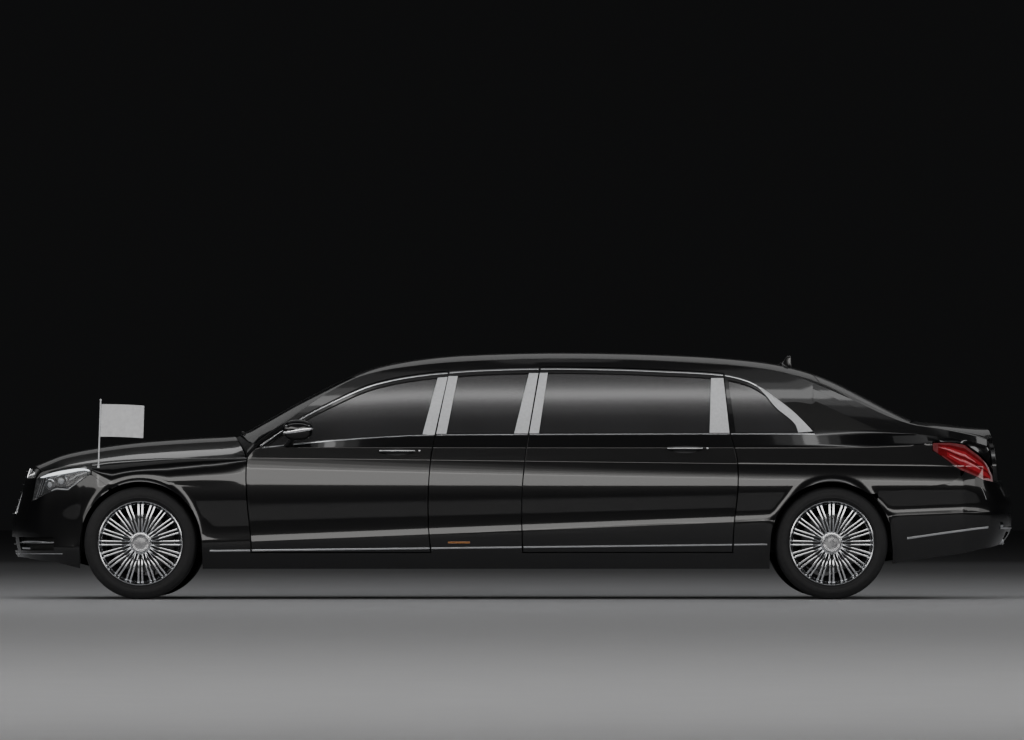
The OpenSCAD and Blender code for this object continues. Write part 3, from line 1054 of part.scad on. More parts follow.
// Wheel about its own axis, which is Z, outboard upward: barrel, disc, spokes, hub and brake disc
spoke_w0 = 13;
spoke_w1 = 21;
spoke_r0 = 62;
hub_z = hub_face;
module spoke_star(w0, w1, r0, r1) {
  for (k = [0:spokes - 1]) rotate(360 * k / spokes)
    polygon([[r0, -w0 / 2], [r1, -w1 / 2], [r1, w1 / 2], [r0, w0 / 2]]);
}
module rim() {
  h = tyre_w / 2;
  seat_r = rim_r - 16;
  color([0.75, 0.75, 0.77]) {
    difference() {
      union() {
        rotate_extrude($fn = 96) polygon([[rim_r, -h + 6], [rim_r, -h + 14], [seat_r, -h + 18], [seat_r, -h + 50],
          [seat_r - 20, -h + 64], [seat_r - 20, h - 60], [seat_r, h - 46], [seat_r, h - 18], [rim_r, h - 14],
          [rim_r, h - 6], [seat_r - 4, h - 6], [seat_r - 8, h - 40], [seat_r - 30, h - 62], [seat_r - 30, -h + 66],
          [seat_r - 10, -h + 46], [seat_r - 10, -h + 6]]);
        intersection() {
          rotate_extrude($fn = 96) polygon([[spoke_r0 - 8, 26], [150, 46], [seat_r - 8, 62], [seat_r - 2, h - 14], [seat_r - 8, h - 14],
            [150, 92], [spoke_r0 - 8, 76]]);
          linear_extrude(height = h) spoke_star(spoke_w0, spoke_w1, spoke_r0 - 9, seat_r - 3);
        }
        rotate_extrude($fn = 64) polygon([[spigot_r - 8, hub_z], [spoke_r0 + 14, hub_z], [spoke_r0 + 14, 70], [spoke_r0, 78],
          [spigot_r - 8, 78]]);
      }
      translate([0, 0, -h]) cylinder(r = spigot_r + seat_gap, h = h + hub_face + spigot_l + 1);
      translate([0, 0, 0]) intersection() {
        rotate_extrude($fn = 64) polygon([[spoke_r0 + 24, 78], [150, 86], [seat_r - 16, h - 23], [seat_r - 16, h + 4], [spoke_r0 + 24, h + 4]]);
        linear_extrude(height = h + 1) spoke_star(spoke_w0 * 0.36, spoke_w1 * 0.42, spoke_r0 + 22, seat_r - 14);
      }
    }
    // Cap over the hub
    translate([0, 0, 78.3]) cylinder(r1 = 60, r2 = 54, h = 12);
    // Brake disc with its hat, against the back of the hub
    difference() {
      rotate_extrude($fn = 64) polygon([[0, hub_face - 0.3], [70, hub_face - 0.3], [78, hub_face - 8], [78, -disc_t / 2 - 20 + 8],
        [disc_r, -disc_t / 2 - 20 + 8], [disc_r, -20 + 8 - disc_t * 1.5], [70, -20 + 8 - disc_t * 1.5], [70, hub_face - 10], [0, hub_face - 10]]);
      translate([0, 0, -h]) cylinder(r = spigot_r + seat_gap, h = h + 60);
    }
  }
}
module tyre() {
  h = tyre_w / 2;
  r0 = rim_r - 16 + seat_gap;
  g = seat_gap + 14;
  color([0.04, 0.04, 0.04]) rotate_extrude($fn = 96) polygon([[r0, -h + 18 + seat_gap], [rim_r + 2, -h + g], [rim_r + 16, -h + 4], [rim_r + 36, -h],
    [tyre_r - 34, -h + 4], [tyre_r - 14, -h + 14], [tyre_r - 4, -h + 30], [tyre_r, -h + 60], [tyre_r, h - 60],
    [tyre_r - 4, h - 30], [tyre_r - 14, h - 14], [tyre_r - 34, h - 4], [rim_r + 36, h], [rim_r + 16, h - 4], [rim_r + 2, h - g],
    [r0, h - 18 - seat_gap]]);
}
module wheel_at(axle, side) {
  translate([axle, side * track / 2, tyre_r]) rotate([-90 * side, 0, 0]) children();
}

module door_mirror() {
  zf = belt_z(at_x(mirror_foot_x)) - 15;
  color([0.02, 0.02, 0.025]) {
    hull() {
      translate([at_x(-1330), -1010, at_z(1096)]) sphere(r = 50, $fn = 14);
      translate([at_x(-1332), -955, at_z(1082)]) sphere(r = 48, $fn = 14);
      translate([at_x(-1415), -1004, at_z(1078)]) sphere(r = 46, $fn = 14);
      translate([at_x(-1408), -950, at_z(1072)]) sphere(r = 46, $fn = 14);
    }
    hull() {
      translate([at_x(-1400), -940, at_z(1060)]) cube([46, 10, 20], center = true);
      translate([at_x(mirror_foot_x), -mirror_foot_y() - 3, zf]) cube([70, 5, 14], center = true);
    }
  }
}
mirror_foot_x = -1432;
function mirror_foot_y() = side_y(at_x(mirror_foot_x), belt_z(at_x(mirror_foot_x)) - 22);

// Flag standard on the left front fender
flag_x = -2647;
pole_lean = 1.9;
foot_r = 9;
function flag_foot(t = 0.66) = fender_pt(at_x(flag_x), max(arch_z(at_x(flag_x), front_axle_x, tyre_r), at_z(768)), t);
module flag_standard() {
  p = flag_foot();
  p2 = flag_foot(0.7);
  slope = (p2[2] - p[2]) / (p2[1] - p[1]);
  color([0.85, 0.85, 0.87]) translate(p + [0, 0, foot_r * slope + 1.5]) {
    cylinder(r1 = foot_r, r2 = foot_r - 2, h = 12);
    rotate([0, pole_lean, 0]) {
      translate([0, 0, 10]) cylinder(r = pole_r, h = flag_h - 26);
      translate([0, 0, flag_h - 12]) sphere(r = 8);
    }
  }
}
module flag() {
  p = flag_foot() + [sin(pole_lean) * (flag_h - 30) + pole_r + seat_gap, 0, flag_h - 30];
  g = [for (j = [0:3]) [for (i = [0:8])
    let (u = i / 8, v = j / 3, x = u * flag_l, z = -flag_w * (1 - v) - 10 * u * u)
    p + [x - sin(pole_lean) * flag_w * (1 - v), 9 * sin(300 * u) * u, z]]];
  color([0.7, 0.7, 0.72]) shell(g, shifted(g, [0, 2, 0]));
}

left = true;
right = false;
floor_pan();
front_structure();
rear_structure();
front_housings();
rear_housings();
on_side(left) side_frame();  // side_frame_left
on_side(right) side_frame();  // side_frame_right
roof_panel();
on_side(left) fender();  // fender_left
on_side(right) fender();  // fender_right
front_bumper();
rear_bumper();
grille();
headlamps();
tail_lamps();
exhaust();
windscreen();
rear_window();
fixed_side_glass();
dashboard();
front_seats();
rear_seats();
partition();
engine_block();
front_subframe();
rear_subframe();
flag_standard();
flag();
cowl();
knuckle(-1);  // knuckle_left
knuckle(1);  // knuckle_right
steering_wheel();
wheel_at(front_axle_x, -1) rim();  // rim_front_left
wheel_at(front_axle_x, 1) rim();  // rim_front_right
wheel_at(rear_axle_x, -1) rim();  // rim_rear_left
wheel_at(rear_axle_x, 1) rim();  // rim_rear_right
wheel_at(front_axle_x, -1) tyre();  // tyre_front_left
wheel_at(front_axle_x, 1) tyre();  // tyre_front_right
wheel_at(rear_axle_x, -1) tyre();  // tyre_rear_left
wheel_at(rear_axle_x, 1) tyre();  // tyre_rear_right
on_side(left) door_front();  // door_front_left
on_side(right) door_front();  // door_front_right
on_side(left) door_rear();  // door_rear_left
on_side(right) door_rear();  // door_rear_right
on_side(left) glass_front();  // glass_front_left
on_side(right) glass_front();  // glass_front_right
on_side(left) glass_rear();  // glass_rear_left
on_side(right) glass_rear();  // glass_rear_right
on_side(left) door_mirror();  // mirror_left
on_side(right) door_mirror();  // mirror_right
hood();
trunk_lid();
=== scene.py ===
# Dressed model of a stretch limousine. Shapes repeat the CAD model's curves, at a finer pitch.
# Lengths are millimetres, and objects are made in metres. A table is a list of (place, value) pairs.
# A place on the nose or the tail runs from 0 at the car's middle to 1 where the flank begins, and past 1 it
# goes along the flank by a metre a unit.
import math
import bpy
from mathutils import Matrix, Vector


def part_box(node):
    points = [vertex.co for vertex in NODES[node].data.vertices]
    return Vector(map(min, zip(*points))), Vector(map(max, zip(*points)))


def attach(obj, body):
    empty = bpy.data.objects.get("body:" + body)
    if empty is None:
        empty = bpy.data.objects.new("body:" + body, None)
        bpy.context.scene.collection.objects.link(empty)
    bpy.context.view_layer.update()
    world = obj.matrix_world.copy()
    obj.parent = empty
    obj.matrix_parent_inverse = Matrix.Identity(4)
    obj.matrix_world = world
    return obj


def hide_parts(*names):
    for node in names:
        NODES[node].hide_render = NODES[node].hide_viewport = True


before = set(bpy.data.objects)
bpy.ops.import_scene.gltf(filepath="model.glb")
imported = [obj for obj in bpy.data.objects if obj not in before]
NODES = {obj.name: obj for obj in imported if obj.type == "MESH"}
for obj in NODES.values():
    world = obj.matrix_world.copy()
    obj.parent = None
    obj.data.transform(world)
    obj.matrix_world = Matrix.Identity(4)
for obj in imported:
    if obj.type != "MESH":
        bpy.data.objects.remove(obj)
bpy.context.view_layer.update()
sin, cos, pi = math.sin, math.cos, math.pi

# The camera that took the photograph
cam_data = bpy.data.cameras.new("camera")
cam = bpy.data.objects.new("camera", cam_data)
bpy.context.scene.collection.objects.link(cam)
cam_data.sensor_width = 36.0
cam_data.lens = 296.9
cam_data.clip_end = 400.0
cam.location = (0.0, -54.9, 0.6)
cam.rotation_euler = (math.radians(90.92), 0.0, 0.0)
bpy.context.scene.camera = cam

# Sizes
panel_gap = 6.0
panel_t = 26.0
screen_t = 5.0
tyre_r = 361.0
tyre_w = 246.0
wheel_y = 812.0
arch_r = 392.0
front_axle = -2375.0
rear_axle = 2043.0
frame_h = 34.0
sill_low = 196.0
sill_top = 297.3
door_low = 300.0
nose_end = -2780.0
tail_end = 2900.0

# Outlines in plan and in side view, by the length of the car
plan_tab = [(-2780, 846), (-2600, 892), (-2375, 925), (-2100, 938), (-1700, 943), (-1000, 947),
            (0, 950), (1000, 950), (1700, 948), (2043, 944), (2400, 924), (2650, 893), (2900, 846)]
nose_plan_x = [(0, -3250), (0.25, -3230), (0.5, -3158), (0.7, -3052), (0.85, -2932), (1, -2780)]
nose_plan_y = [(0, 0), (0.25, 262), (0.5, 512), (0.7, 675), (0.85, 772), (1, 846)]
tail_plan_x = [(0, 3250), (0.25, 3240), (0.5, 3196), (0.7, 3122), (0.85, 3028), (1, 2900)]
tail_plan_y = [(0, 0), (0.25, 268), (0.5, 520), (0.7, 684), (0.85, 782), (1, 846)]
nose_back = [(180, 95), (230, 62), (300, 26), (380, 4), (480, 0), (552, 14), (700, 56), (850, 100)]
tail_back = [(180, 230), (300, 120), (364, 66), (430, 22), (494, 9), (560, 6), (637, 10), (690, 38),
             (743, 66), (930, 90), (1030, 122), (1090, 165)]
hood_edge_y = [(-3120, 470), (-2900, 590), (-2600, 702), (-2300, 780), (-2050, 826), (-1900, 842),
               (-1700, 846)]
hood_edge_z = [(-3120, 790), (-2900, 846), (-2600, 884), (-2300, 900), (-2050, 905), (-1900, 906),
               (-1700, 908)]
rail_z = [(-1700, 930), (-1650, 985), (-1362, 1200), (-1190, 1318), (-1010, 1416), (-860, 1461),
          (-712, 1488), (-416, 1520), (0, 1538), (595, 1539), (937, 1528), (1279, 1508), (1458, 1496),
          (1694, 1462), (1871, 1412), (2167, 1286), (2404, 1176), (2560, 1122), (2750, 1092),
          (2950, 1052), (3090, 1012)]
crown_z = [(-3120, 846), (-3050, 878), (-2901, 934), (-2683, 978), (-2467, 1008), (-2252, 1027),
           (-2036, 1041), (-1821, 1052), (-1760, 1062), (-1604, 1146), (-1389, 1268), (-1173, 1380),
           (-1044, 1441), (-900, 1494), (-741, 1530), (-527, 1561), (-310, 1579), (52, 1592),
           (358, 1595), (791, 1588), (1223, 1570), (1500, 1548), (1700, 1522), (1850, 1488),
           (1932, 1464), (2094, 1400), (2313, 1291), (2530, 1180), (2615, 1147), (2745, 1136),
           (2966, 1108), (3090, 1090)]
belt_z_tab = [(-1694, 906), (-1664, 944), (-1620, 972), (-1400, 1000), (-1153, 1023), (-800, 1047),
              (-518, 1058), (0, 1062), (1931, 1066), (2560, 1058), (2714, 1045), (2900, 1016),
              (3090, 970)]
belt_y_tab = [(-1700, 892), (-1400, 882), (-1000, 877), (0, 874), (1000, 873), (1600, 866), (2043, 848),
              (2300, 820), (2560, 778), (2750, 742), (2950, 694), (3090, 640)]
window_z_tab = [(-1640, 972), (-1362, 1157), (-1170, 1260), (-940, 1365), (-768, 1412), (-597, 1441),
                (-416, 1460), (-205, 1475), (195, 1486), (595, 1482), (937, 1470), (1349, 1446),
                (1509, 1408), (1600, 1360), (1694, 1292), (1813, 1196), (1925, 1080)]
shoulder_tab = [(-1700, 972), (2043, 972), (2560, 988), (2714, 1006), (2900, 1000), (3090, 950)]
cut_a = [(196, -1664), (406, -1671), (668, -1696), (906, -1692), (972, -1640)]
cut_b = [(196, -512), (306, -519), (480, -534), (700, -534), (906, -518), (1058, -490), (1500, -398)]
cut_c = [(196, 66), (306, 68), (480, 62), (700, 64), (906, 84), (1062, 106), (1520, 186)]
cut_d = [(196, 1420), (306, 1412), (480, 1420), (700, 1444), (880, 1442), (980, 1420), (1066, 1396),
         (1500, 1356)]
seam_tab = [(2330, 676), (2590, 713), (2794, 742), (2877, 789)]
nose_low_tab = [(0, 272), (0.5, 266), (0.85, 236), (1.013, 198), (1.2, 198)]
lamp_low = [(0.606, 627), (0.75, 672), (0.84, 700), (0.93, 695), (1.03, 766), (1.084, 803)]
lamp_high = [(0.606, 768), (0.66, 786), (0.75, 806), (0.84, 822), (0.93, 834), (1.0, 842),
             (1.045, 842), (1.084, 828)]
tail_low_tab = [(0, 362), (0.5, 352), (0.85, 320), (1, 296), (1.3, 256), (1.47, 228), (1.6, 226)]
tail_low = [(0.68, 750), (0.83, 766), (1.0, 818), (1.03, 829), (1.11, 890), (1.206, 956)]
tail_high = [(0.68, 768), (0.78, 868), (0.88, 925), (1.0, 988), (1.03, 994), (1.1, 1003), (1.206, 1000)]


def mixed(a, b, t):
    return a + (b - a) * t


def clamped(v, a, b):
    return min(max(v, a), b)


def slot_of(tab, x):
    i = 0
    while i < len(tab) - 2 and x >= tab[i + 1][0]:
        i += 1
    return i


def curve(tab, x):
    x = clamped(x, tab[0][0], tab[-1][0])
    i = slot_of(tab, x)

    def slope(k):
        a, b = max(k - 1, 0), min(k + 1, len(tab) - 1)
        return (tab[b][1] - tab[a][1]) / (tab[b][0] - tab[a][0])
    h = tab[i + 1][0] - tab[i][0]
    t = (x - tab[i][0]) / h
    ma, mb = slope(i) * h, slope(i + 1) * h
    return (tab[i][1] * (2 * t ** 3 - 3 * t ** 2 + 1) + ma * (t ** 3 - 2 * t ** 2 + t)
            + tab[i + 1][1] * (3 * t ** 2 - 2 * t ** 3) + mb * (t ** 3 - t ** 2))


def seg(tab, v):
    i = slot_of(tab, v)
    t = clamped((v - tab[i][0]) / (tab[i + 1][0] - tab[i][0]), 0, 1)
    return mixed(tab[i][1], tab[i + 1][1], t)


def belt_z(x): return curve(belt_z_tab, x)
def belt_y(x): return curve(belt_y_tab, x)
def window_z(x): return curve(window_z_tab, x)
def plan_y(x): return curve(plan_tab, x)
def low_line(x): return mixed(361, 505, (x + 1899) / 3552.0)
def handle_line(x): return mixed(905, 868, (x + 1694) / 3114.0)
def cut_x(tab, z): return curve(tab, z)


def flare(x, z):
    d = min(math.hypot(x - front_axle, z - tyre_r), math.hypot(x - rear_axle, z - tyre_r))
    d = clamped((d - arch_r) / 46.0, 0, 1)
    return 11.0 * (1 - d) ** 2


def rocker_in(x, z):
    return 62 * clamped((low_line(x) - z) / (low_line(x) - 190), 0, 1) ** 1.35


def flank_in(x, z):
    t = clamped((z - low_line(x)) / (handle_line(x) - low_line(x)), 0, 1)
    lip = 8 * (1 - (1 - min(t / 0.16, 1)) ** 2)
    fade = clamped((t - 0.16) / 0.5, 0, 1)
    return lip * (1 - fade * fade * (3 - 2 * fade)) + 36 * max(0.0, (t - 0.42) / 0.58) ** 2


def shoulder_in(x, z):
    zs, zh, zb = curve(shoulder_tab, x), handle_line(x), belt_z(x)
    over = plan_y(x) - belt_y(x)
    t = clamped((z - zs) / max(zb - zs, 1), 0, 1)
    if z <= zs:
        return mixed(36, 41, clamped((z - zh) / (zs - zh), 0, 1))
    return mixed(41, over, t)


def side_in(x, z):
    if z < low_line(x):
        return rocker_in(x, z)
    return flank_in(x, z) if z < handle_line(x) else shoulder_in(x, z)


def side_y(x, z):
    return plan_y(x) - side_in(x, z) + flare(x, z)


def cabin_y(x, z):
    up = z - belt_z(x)
    return belt_y(x) - 0.5 * up + 14 * sin(pi * clamped(up / 470.0, 0, 1))


def any_y(x, z):
    return cabin_y(x, z) if z > belt_z(x) else side_y(x, z)


def edge_z(x): return curve(rail_z, x)
def edge_y(x): return cabin_y(x, edge_z(x))
def hood_y(x): return curve(hood_edge_y, x)
def hood_z(x): return curve(hood_edge_z, x)
def centre_z(x): return curve(crown_z, x)
def hood_top(x, y): return mixed(centre_z(x), hood_z(x), min(abs(y) / hood_y(x), 1) ** 2.4)
def cabin_top(x, y): return mixed(centre_z(x), edge_z(x), min(abs(y) / edge_y(x), 1) ** 2.2)


def V(x, y, z):
    return Vector((x, y, z))


def flank_pt(x, z):
    return V(x, -side_y(x, z), z)


def nose_pt(s, z):
    """Point on the nose's left half, or on the flank behind it."""
    if s >= 1:
        return flank_pt(nose_end + (s - 1) * 1000, z)
    x = curve(nose_plan_x, s) + curve(nose_back, z) * (1 - s * s)
    inset = plan_y(nose_end) - side_y(nose_end, z)
    return V(x, -(curve(nose_plan_y, s) - inset * s * s), z)


def tail_pt(s, z):
    """Point on the tail's left half, or on the flank before it."""
    if s >= 1:
        return flank_pt(tail_end - (s - 1) * 1000, z)
    x = curve(tail_plan_x, s) - curve(tail_back, z) * (1 - s * s)
    inset = plan_y(tail_end) - side_y(tail_end, z)
    return V(x, -(curve(tail_plan_y, s) - inset * s * s), z)


def into(s, t, way):
    """Step of t into the body; way is 1 at the nose and -1 at the tail."""
    a = clamped(abs(s), 0, 1)
    return V(way * t * (1 - a * a), t * a, 0)


def nose_in(s, t): return into(s, t, 1)
def tail_in(s, t): return into(s, t, -1)
def flip(p, side): return V(p[0], side * p[1], p[2])


# Mesh helpers
MM = 0.001
coll = bpy.context.scene.collection


class Shape:
    """Collects shells and bars into one mesh."""

    def __init__(self):
        self.v = []
        self.f = []

    def shell(self, outer, inner, keep=None):
        """Closed skin between two grids, of the cells that keep(row, column) holds for."""
        rows, cols = len(outer), len(outer[0])
        base = len(self.v)
        n = rows * cols
        for r in outer + inner:
            self.v.extend(r)

        def kept(r, c):
            return 0 <= r < rows - 1 and 0 <= c < cols - 1 and (keep is None or keep(r, c))
        for r in range(rows - 1):
            for c in range(cols - 1):
                if not kept(r, c):
                    continue
                a = base + r * cols + c
                b, d, e = a + 1, a + cols + 1, a + cols
                self.f += [(a, b, d, e), (n + a, n + e, n + d, n + b)]
                for dr, dc, p, q in ((-1, 0, b, a), (1, 0, e, d), (0, -1, a, e), (0, 1, d, b)):
                    if not kept(r + dr, c + dc):
                        self.f.append((p, q, n + q, n + p))
        return self

    def done(self, name, mat, body="body", smooth=40.0, side=1, node=None, slot=None):
        """Makes the object, in place of a CAD node if one is named. side=-1 mirrors it to the car's right."""
        mesh = bpy.data.meshes.new(name)
        pts = [(p[0] * MM, p[1] * MM * side, p[2] * MM) for p in self.v]
        mesh.from_pydata(pts, [], [f[::side] for f in self.f])
        mesh.validate(clean_customdata=False)
        mesh.shade_smooth()
        mesh.set_sharp_from_angle(angle=math.radians(smooth))
        mesh.materials.append(mat)
        obj = bpy.data.objects.new(name, mesh)
        coll.objects.link(obj)
        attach(obj, body)
        if node:
            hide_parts(node)
        return obj


def moved(grid, v):
    v = Vector(v)
    return [[p + v for p in r] for r in grid]


def spread(*parts):
    """Values through several stretches: (a, b, n), each joined to the next."""
    out = []
    for k, (a, b, n) in enumerate(parts):
        out += [mixed(a, b, i / n) for i in range(0 if k == 0 else 1, n + 1)]
    return out


def turned(columns):
    return [list(r) for r in zip(*columns)]


def grid_of(rows, cols, at):
    """Rows of points at(i, j), with i along a row."""
    return [[at(i, j) for i in range(cols)] for j in range(rows)]


# Materials
def link(tree, a, b):
    tree.links.new(a, b)


def noise(tree, scale, detail):
    tc = tree.nodes.new("ShaderNodeTexCoord")
    n = tree.nodes.new("ShaderNodeTexNoise")
    n.inputs["Scale"].default_value = scale
    n.inputs["Detail"].default_value = detail
    n.inputs["Roughness"].default_value = 0.55
    link(tree, tc.outputs["Object"], n.inputs["Vector"])
    return n.outputs["Fac"]


def ramp(tree, source, colours, socket):
    r = tree.nodes.new("ShaderNodeValToRGB")
    for stop, place, colour in zip(r.color_ramp.elements, (0.3, 0.7), colours):
        stop.position = place
        stop.color = tuple(colour) + (1,)
    link(tree, source, r.inputs["Fac"])
    link(tree, r.outputs["Color"], socket)


def spread_to(tree, source, lo, hi, socket):
    m = tree.nodes.new("ShaderNodeMapRange")
    m.inputs["To Min"].default_value = lo
    m.inputs["To Max"].default_value = hi
    link(tree, source, m.inputs["Value"])
    link(tree, m.outputs["Result"], socket)


def bump(tree, source, strength, distance, socket):
    b = tree.nodes.new("ShaderNodeBump")
    b.inputs["Strength"].default_value = strength
    b.inputs["Distance"].default_value = distance
    link(tree, source, b.inputs["Height"])
    link(tree, b.outputs["Normal"], socket)


def material(name, a, b, scale, rough, metallic=0.0, coat=0.0, bump_by=0.0, bump_d=0.001, spec=0.5,
             coat_rough=0.03):
    """Two close tones over noise, with roughness that varies a little."""
    mat = bpy.data.materials.new(name)
    mat.use_nodes = True
    tree = mat.node_tree
    bsdf = tree.nodes["Principled BSDF"]
    grain = noise(tree, scale, 4.0)
    ramp(tree, grain, (a, b), bsdf.inputs["Base Color"])
    spread_to(tree, grain, rough[0], rough[1], bsdf.inputs["Roughness"])
    bsdf.inputs["Metallic"].default_value = metallic
    bsdf.inputs["Coat Weight"].default_value = coat
    bsdf.inputs["Coat Roughness"].default_value = coat_rough
    bsdf.inputs["Specular IOR Level"].default_value = spec
    if bump_by:
        bump(tree, noise(tree, scale * 6, 6.0), bump_by, bump_d, bsdf.inputs["Normal"])
    mat.diffuse_color = tuple(b) + (1,)
    return mat


def glass_material(name, a, b, alpha, rough=0.02, blur=0.03):
    mat = material(name, a, b, 3.0, (rough, rough + 0.02), coat=1.0, coat_rough=blur)
    mat.node_tree.nodes["Principled BSDF"].inputs["Alpha"].default_value = alpha
    return mat


PAINT = material("black_lacquer", (0.0030, 0.0030, 0.0034), (0.0048, 0.0048, 0.0054), 180.0, (0.26, 0.32),
                 coat=1.0, coat_rough=0.045, spec=0.14)
CHROME = material("bright_chrome", (0.78, 0.79, 0.81), (0.86, 0.87, 0.88), 30.0, (0.05, 0.10), metallic=1.0)
SILVER = material("brushed_silver", (0.62, 0.63, 0.65), (0.74, 0.75, 0.77), 60.0, (0.32, 0.42), metallic=0.35,
                  bump_by=0.05, bump_d=0.0004)
ALLOY = material("alloy_silver", (0.60, 0.61, 0.63), (0.66, 0.67, 0.69), 7.0, (0.14, 0.19), metallic=1.0,
                 coat=0.3)
RUBBER = material("tyre_rubber", (0.008, 0.008, 0.009), (0.016, 0.016, 0.017), 40.0, (0.55, 0.75),
                  bump_by=0.25, bump_d=0.0006, spec=0.35)
SEAL = material("seal_black", (0.006, 0.006, 0.006), (0.011, 0.011, 0.012), 50.0, (0.35, 0.5), spec=0.4)
TRIM = material("trim_black", (0.010, 0.010, 0.011), (0.020, 0.020, 0.021), 60.0, (0.45, 0.62),
                bump_by=0.2, bump_d=0.0004, spec=0.4)
UNDER = material("underseal", (0.010, 0.010, 0.011), (0.019, 0.019, 0.020), 22.0, (0.6, 0.85), bump_by=0.3,
                 bump_d=0.001, spec=0.3)
LEATHER = material("black_leather", (0.012, 0.011, 0.011), (0.030, 0.028, 0.027), 45.0, (0.38, 0.55),
                   bump_by=0.35, bump_d=0.0007)
CASTING = material("cast_metal", (0.24, 0.24, 0.25), (0.36, 0.36, 0.37), 20.0, (0.4, 0.6), metallic=0.8,
                   bump_by=0.3)
CHASSIS = material("chassis_black", (0.02, 0.02, 0.02), (0.045, 0.045, 0.047), 18.0, (0.5, 0.7))
STEEL = material("satin_steel", (0.36, 0.36, 0.37), (0.55, 0.55, 0.56), 25.0, (0.2, 0.34), metallic=1.0)
DISC = material("brake_disc", (0.045, 0.045, 0.047), (0.080, 0.080, 0.083), 40.0, (0.4, 0.5), metallic=0.8)
WELL = material("rim_well", (0.012, 0.012, 0.013), (0.028, 0.028, 0.030), 40.0, (0.4, 0.5), metallic=0.5)
CLOTH = material("flag_cloth", (0.66, 0.665, 0.68), (0.80, 0.805, 0.82), 35.0, (0.55, 0.7), bump_by=0.3,
                 bump_d=0.0006)
AMBER = material("amber_lens", (0.26, 0.085, 0.008), (0.38, 0.14, 0.015), 60.0, (0.08, 0.14), coat=1.0)
BULB = material("lamp_metal", (0.70, 0.71, 0.73), (0.90, 0.90, 0.92), 30.0, (0.06, 0.12), metallic=1.0)
RED = material("red_lens", (0.13, 0.005, 0.008), (0.20, 0.009, 0.013), 40.0, (0.06, 0.12), coat=1.0)
PINK = material("pale_lens", (0.36, 0.21, 0.22), (0.48, 0.31, 0.32), 40.0, (0.10, 0.18), coat=1.0)
GLASS = glass_material("tinted_glass", (0.030, 0.030, 0.031), (0.036, 0.036, 0.038), 0.92, 0.12, blur=0.12)
SCREEN = glass_material("screen_glass", (0.006, 0.007, 0.008), (0.012, 0.013, 0.015), 0.70)
LENS = glass_material("clear_lens", (0.10, 0.105, 0.11), (0.16, 0.165, 0.17), 0.12)
LED = material("lamp_light", (0.80, 0.82, 0.86), (0.95, 0.96, 1.0), 30.0, (0.1, 0.16), coat=1.0)
LED.node_tree.nodes["Principled BSDF"].inputs["Emission Color"].default_value = (0.9, 0.95, 1.0, 1)
LED.node_tree.nodes["Principled BSDF"].inputs["Emission Strength"].default_value = 1.6
HOUSING = material("lamp_housing", (0.035, 0.035, 0.037), (0.09, 0.09, 0.095), 30.0, (0.2, 0.3), metallic=0.7)
GLASS_BALL = material("projector_glass", (0.30, 0.32, 0.35), (0.45, 0.47, 0.50), 20.0, (0.04, 0.08), coat=1.0)
ROSE = material("rose_lens", (0.16, 0.035, 0.04), (0.24, 0.06, 0.065), 40.0, (0.06, 0.12), coat=1.0)
GLOW = material("lamp_glow", (0.55, 0.09, 0.11), (0.70, 0.14, 0.16), 40.0, (0.10, 0.16), coat=1.0)
RED_BRIGHT = material("bright_red_lens", (0.30, 0.012, 0.020), (0.42, 0.022, 0.032), 40.0, (0.06, 0.12),
                      coat=1.0)
DARK = material("intake_black", (0.004, 0.004, 0.004), (0.009, 0.009, 0.009), 50.0, (0.5, 0.7), spec=0.3)


# Body panels. Each is made for the left side (-Y) and mirrored for the right.
SIDES = (("left", 1), ("right", -1))
ENDS = (("front", front_axle), ("rear", rear_axle))
DOOR = {"front": (cut_a, cut_b, -1692, -490), "rear": (cut_c, cut_d, 106, 1396)}


def painted(shape, name, body, node, side=1, width=1.8, smooth=30):
    """Painted panel with rounded edges."""
    obj = shape.done(name, PAINT, body, smooth, side, node, "black_paint")
    m = obj.modifiers.new("edge", "BEVEL")
    m.width = width * MM
    m.segments = 2
    m.limit_method = "ANGLE"
    m.angle_limit = math.radians(38)
    m.harden_normals = True
    m.use_clamp_overlap = True


def side_rows(x, za, zt):
    """Heights from za to zt on the flank, with close rows on both sides of a crease to keep it crisp."""
    z3 = min(curve(shoulder_tab, x), zt - 10)
    z2 = min(handle_line(x), z3 - 10)
    z1 = max(min(low_line(x), z2 - 30), za + 20)
    z1b = mixed(z1, z2, 0.12)
    e = 0.5 if z3 - z2 < 14 else 2.0
    base = [za, mixed(za, z1, 0.5), z1 - e, z1 + e, z1b, mixed(z1b, z2, 0.42), mixed(z1b, z2, 0.75),
            z2 - e, z2 + e, z3 - e, z3 + e, mixed(z3, zt, 0.5), zt]
    return [mixed(a, b, t) for a, b in zip(base, base[1:]) for t in (0, 0.5)] + [zt]


def door_grid(end, t, inset):
    ca, cb, ta, tb = DOOR[end]
    hg = panel_gap / 2 + inset
    columns = []
    for k in spread((0, 1, 44)):
        xt = mixed(ta + hg, tb - hg, k)
        column = []
        for z in side_rows(xt, door_low + hg, belt_z(xt) - inset * 0.5):
            x = mixed(cut_x(ca, min(z, 906) if end == "front" else z) + hg, cut_x(cb, z) - hg, k)
            column.append(V(x, -side_y(x, z) + t, z))
        columns.append(column)
    return turned(columns)


def opening(xa0, xa1, xb0, xb1, cols=36):
    return ((xa0, belt_z(xa0)), (xb0, belt_z(xb0)),
            [(x, window_z(x) - frame_h) for x in spread((xa1, xb1, cols))])


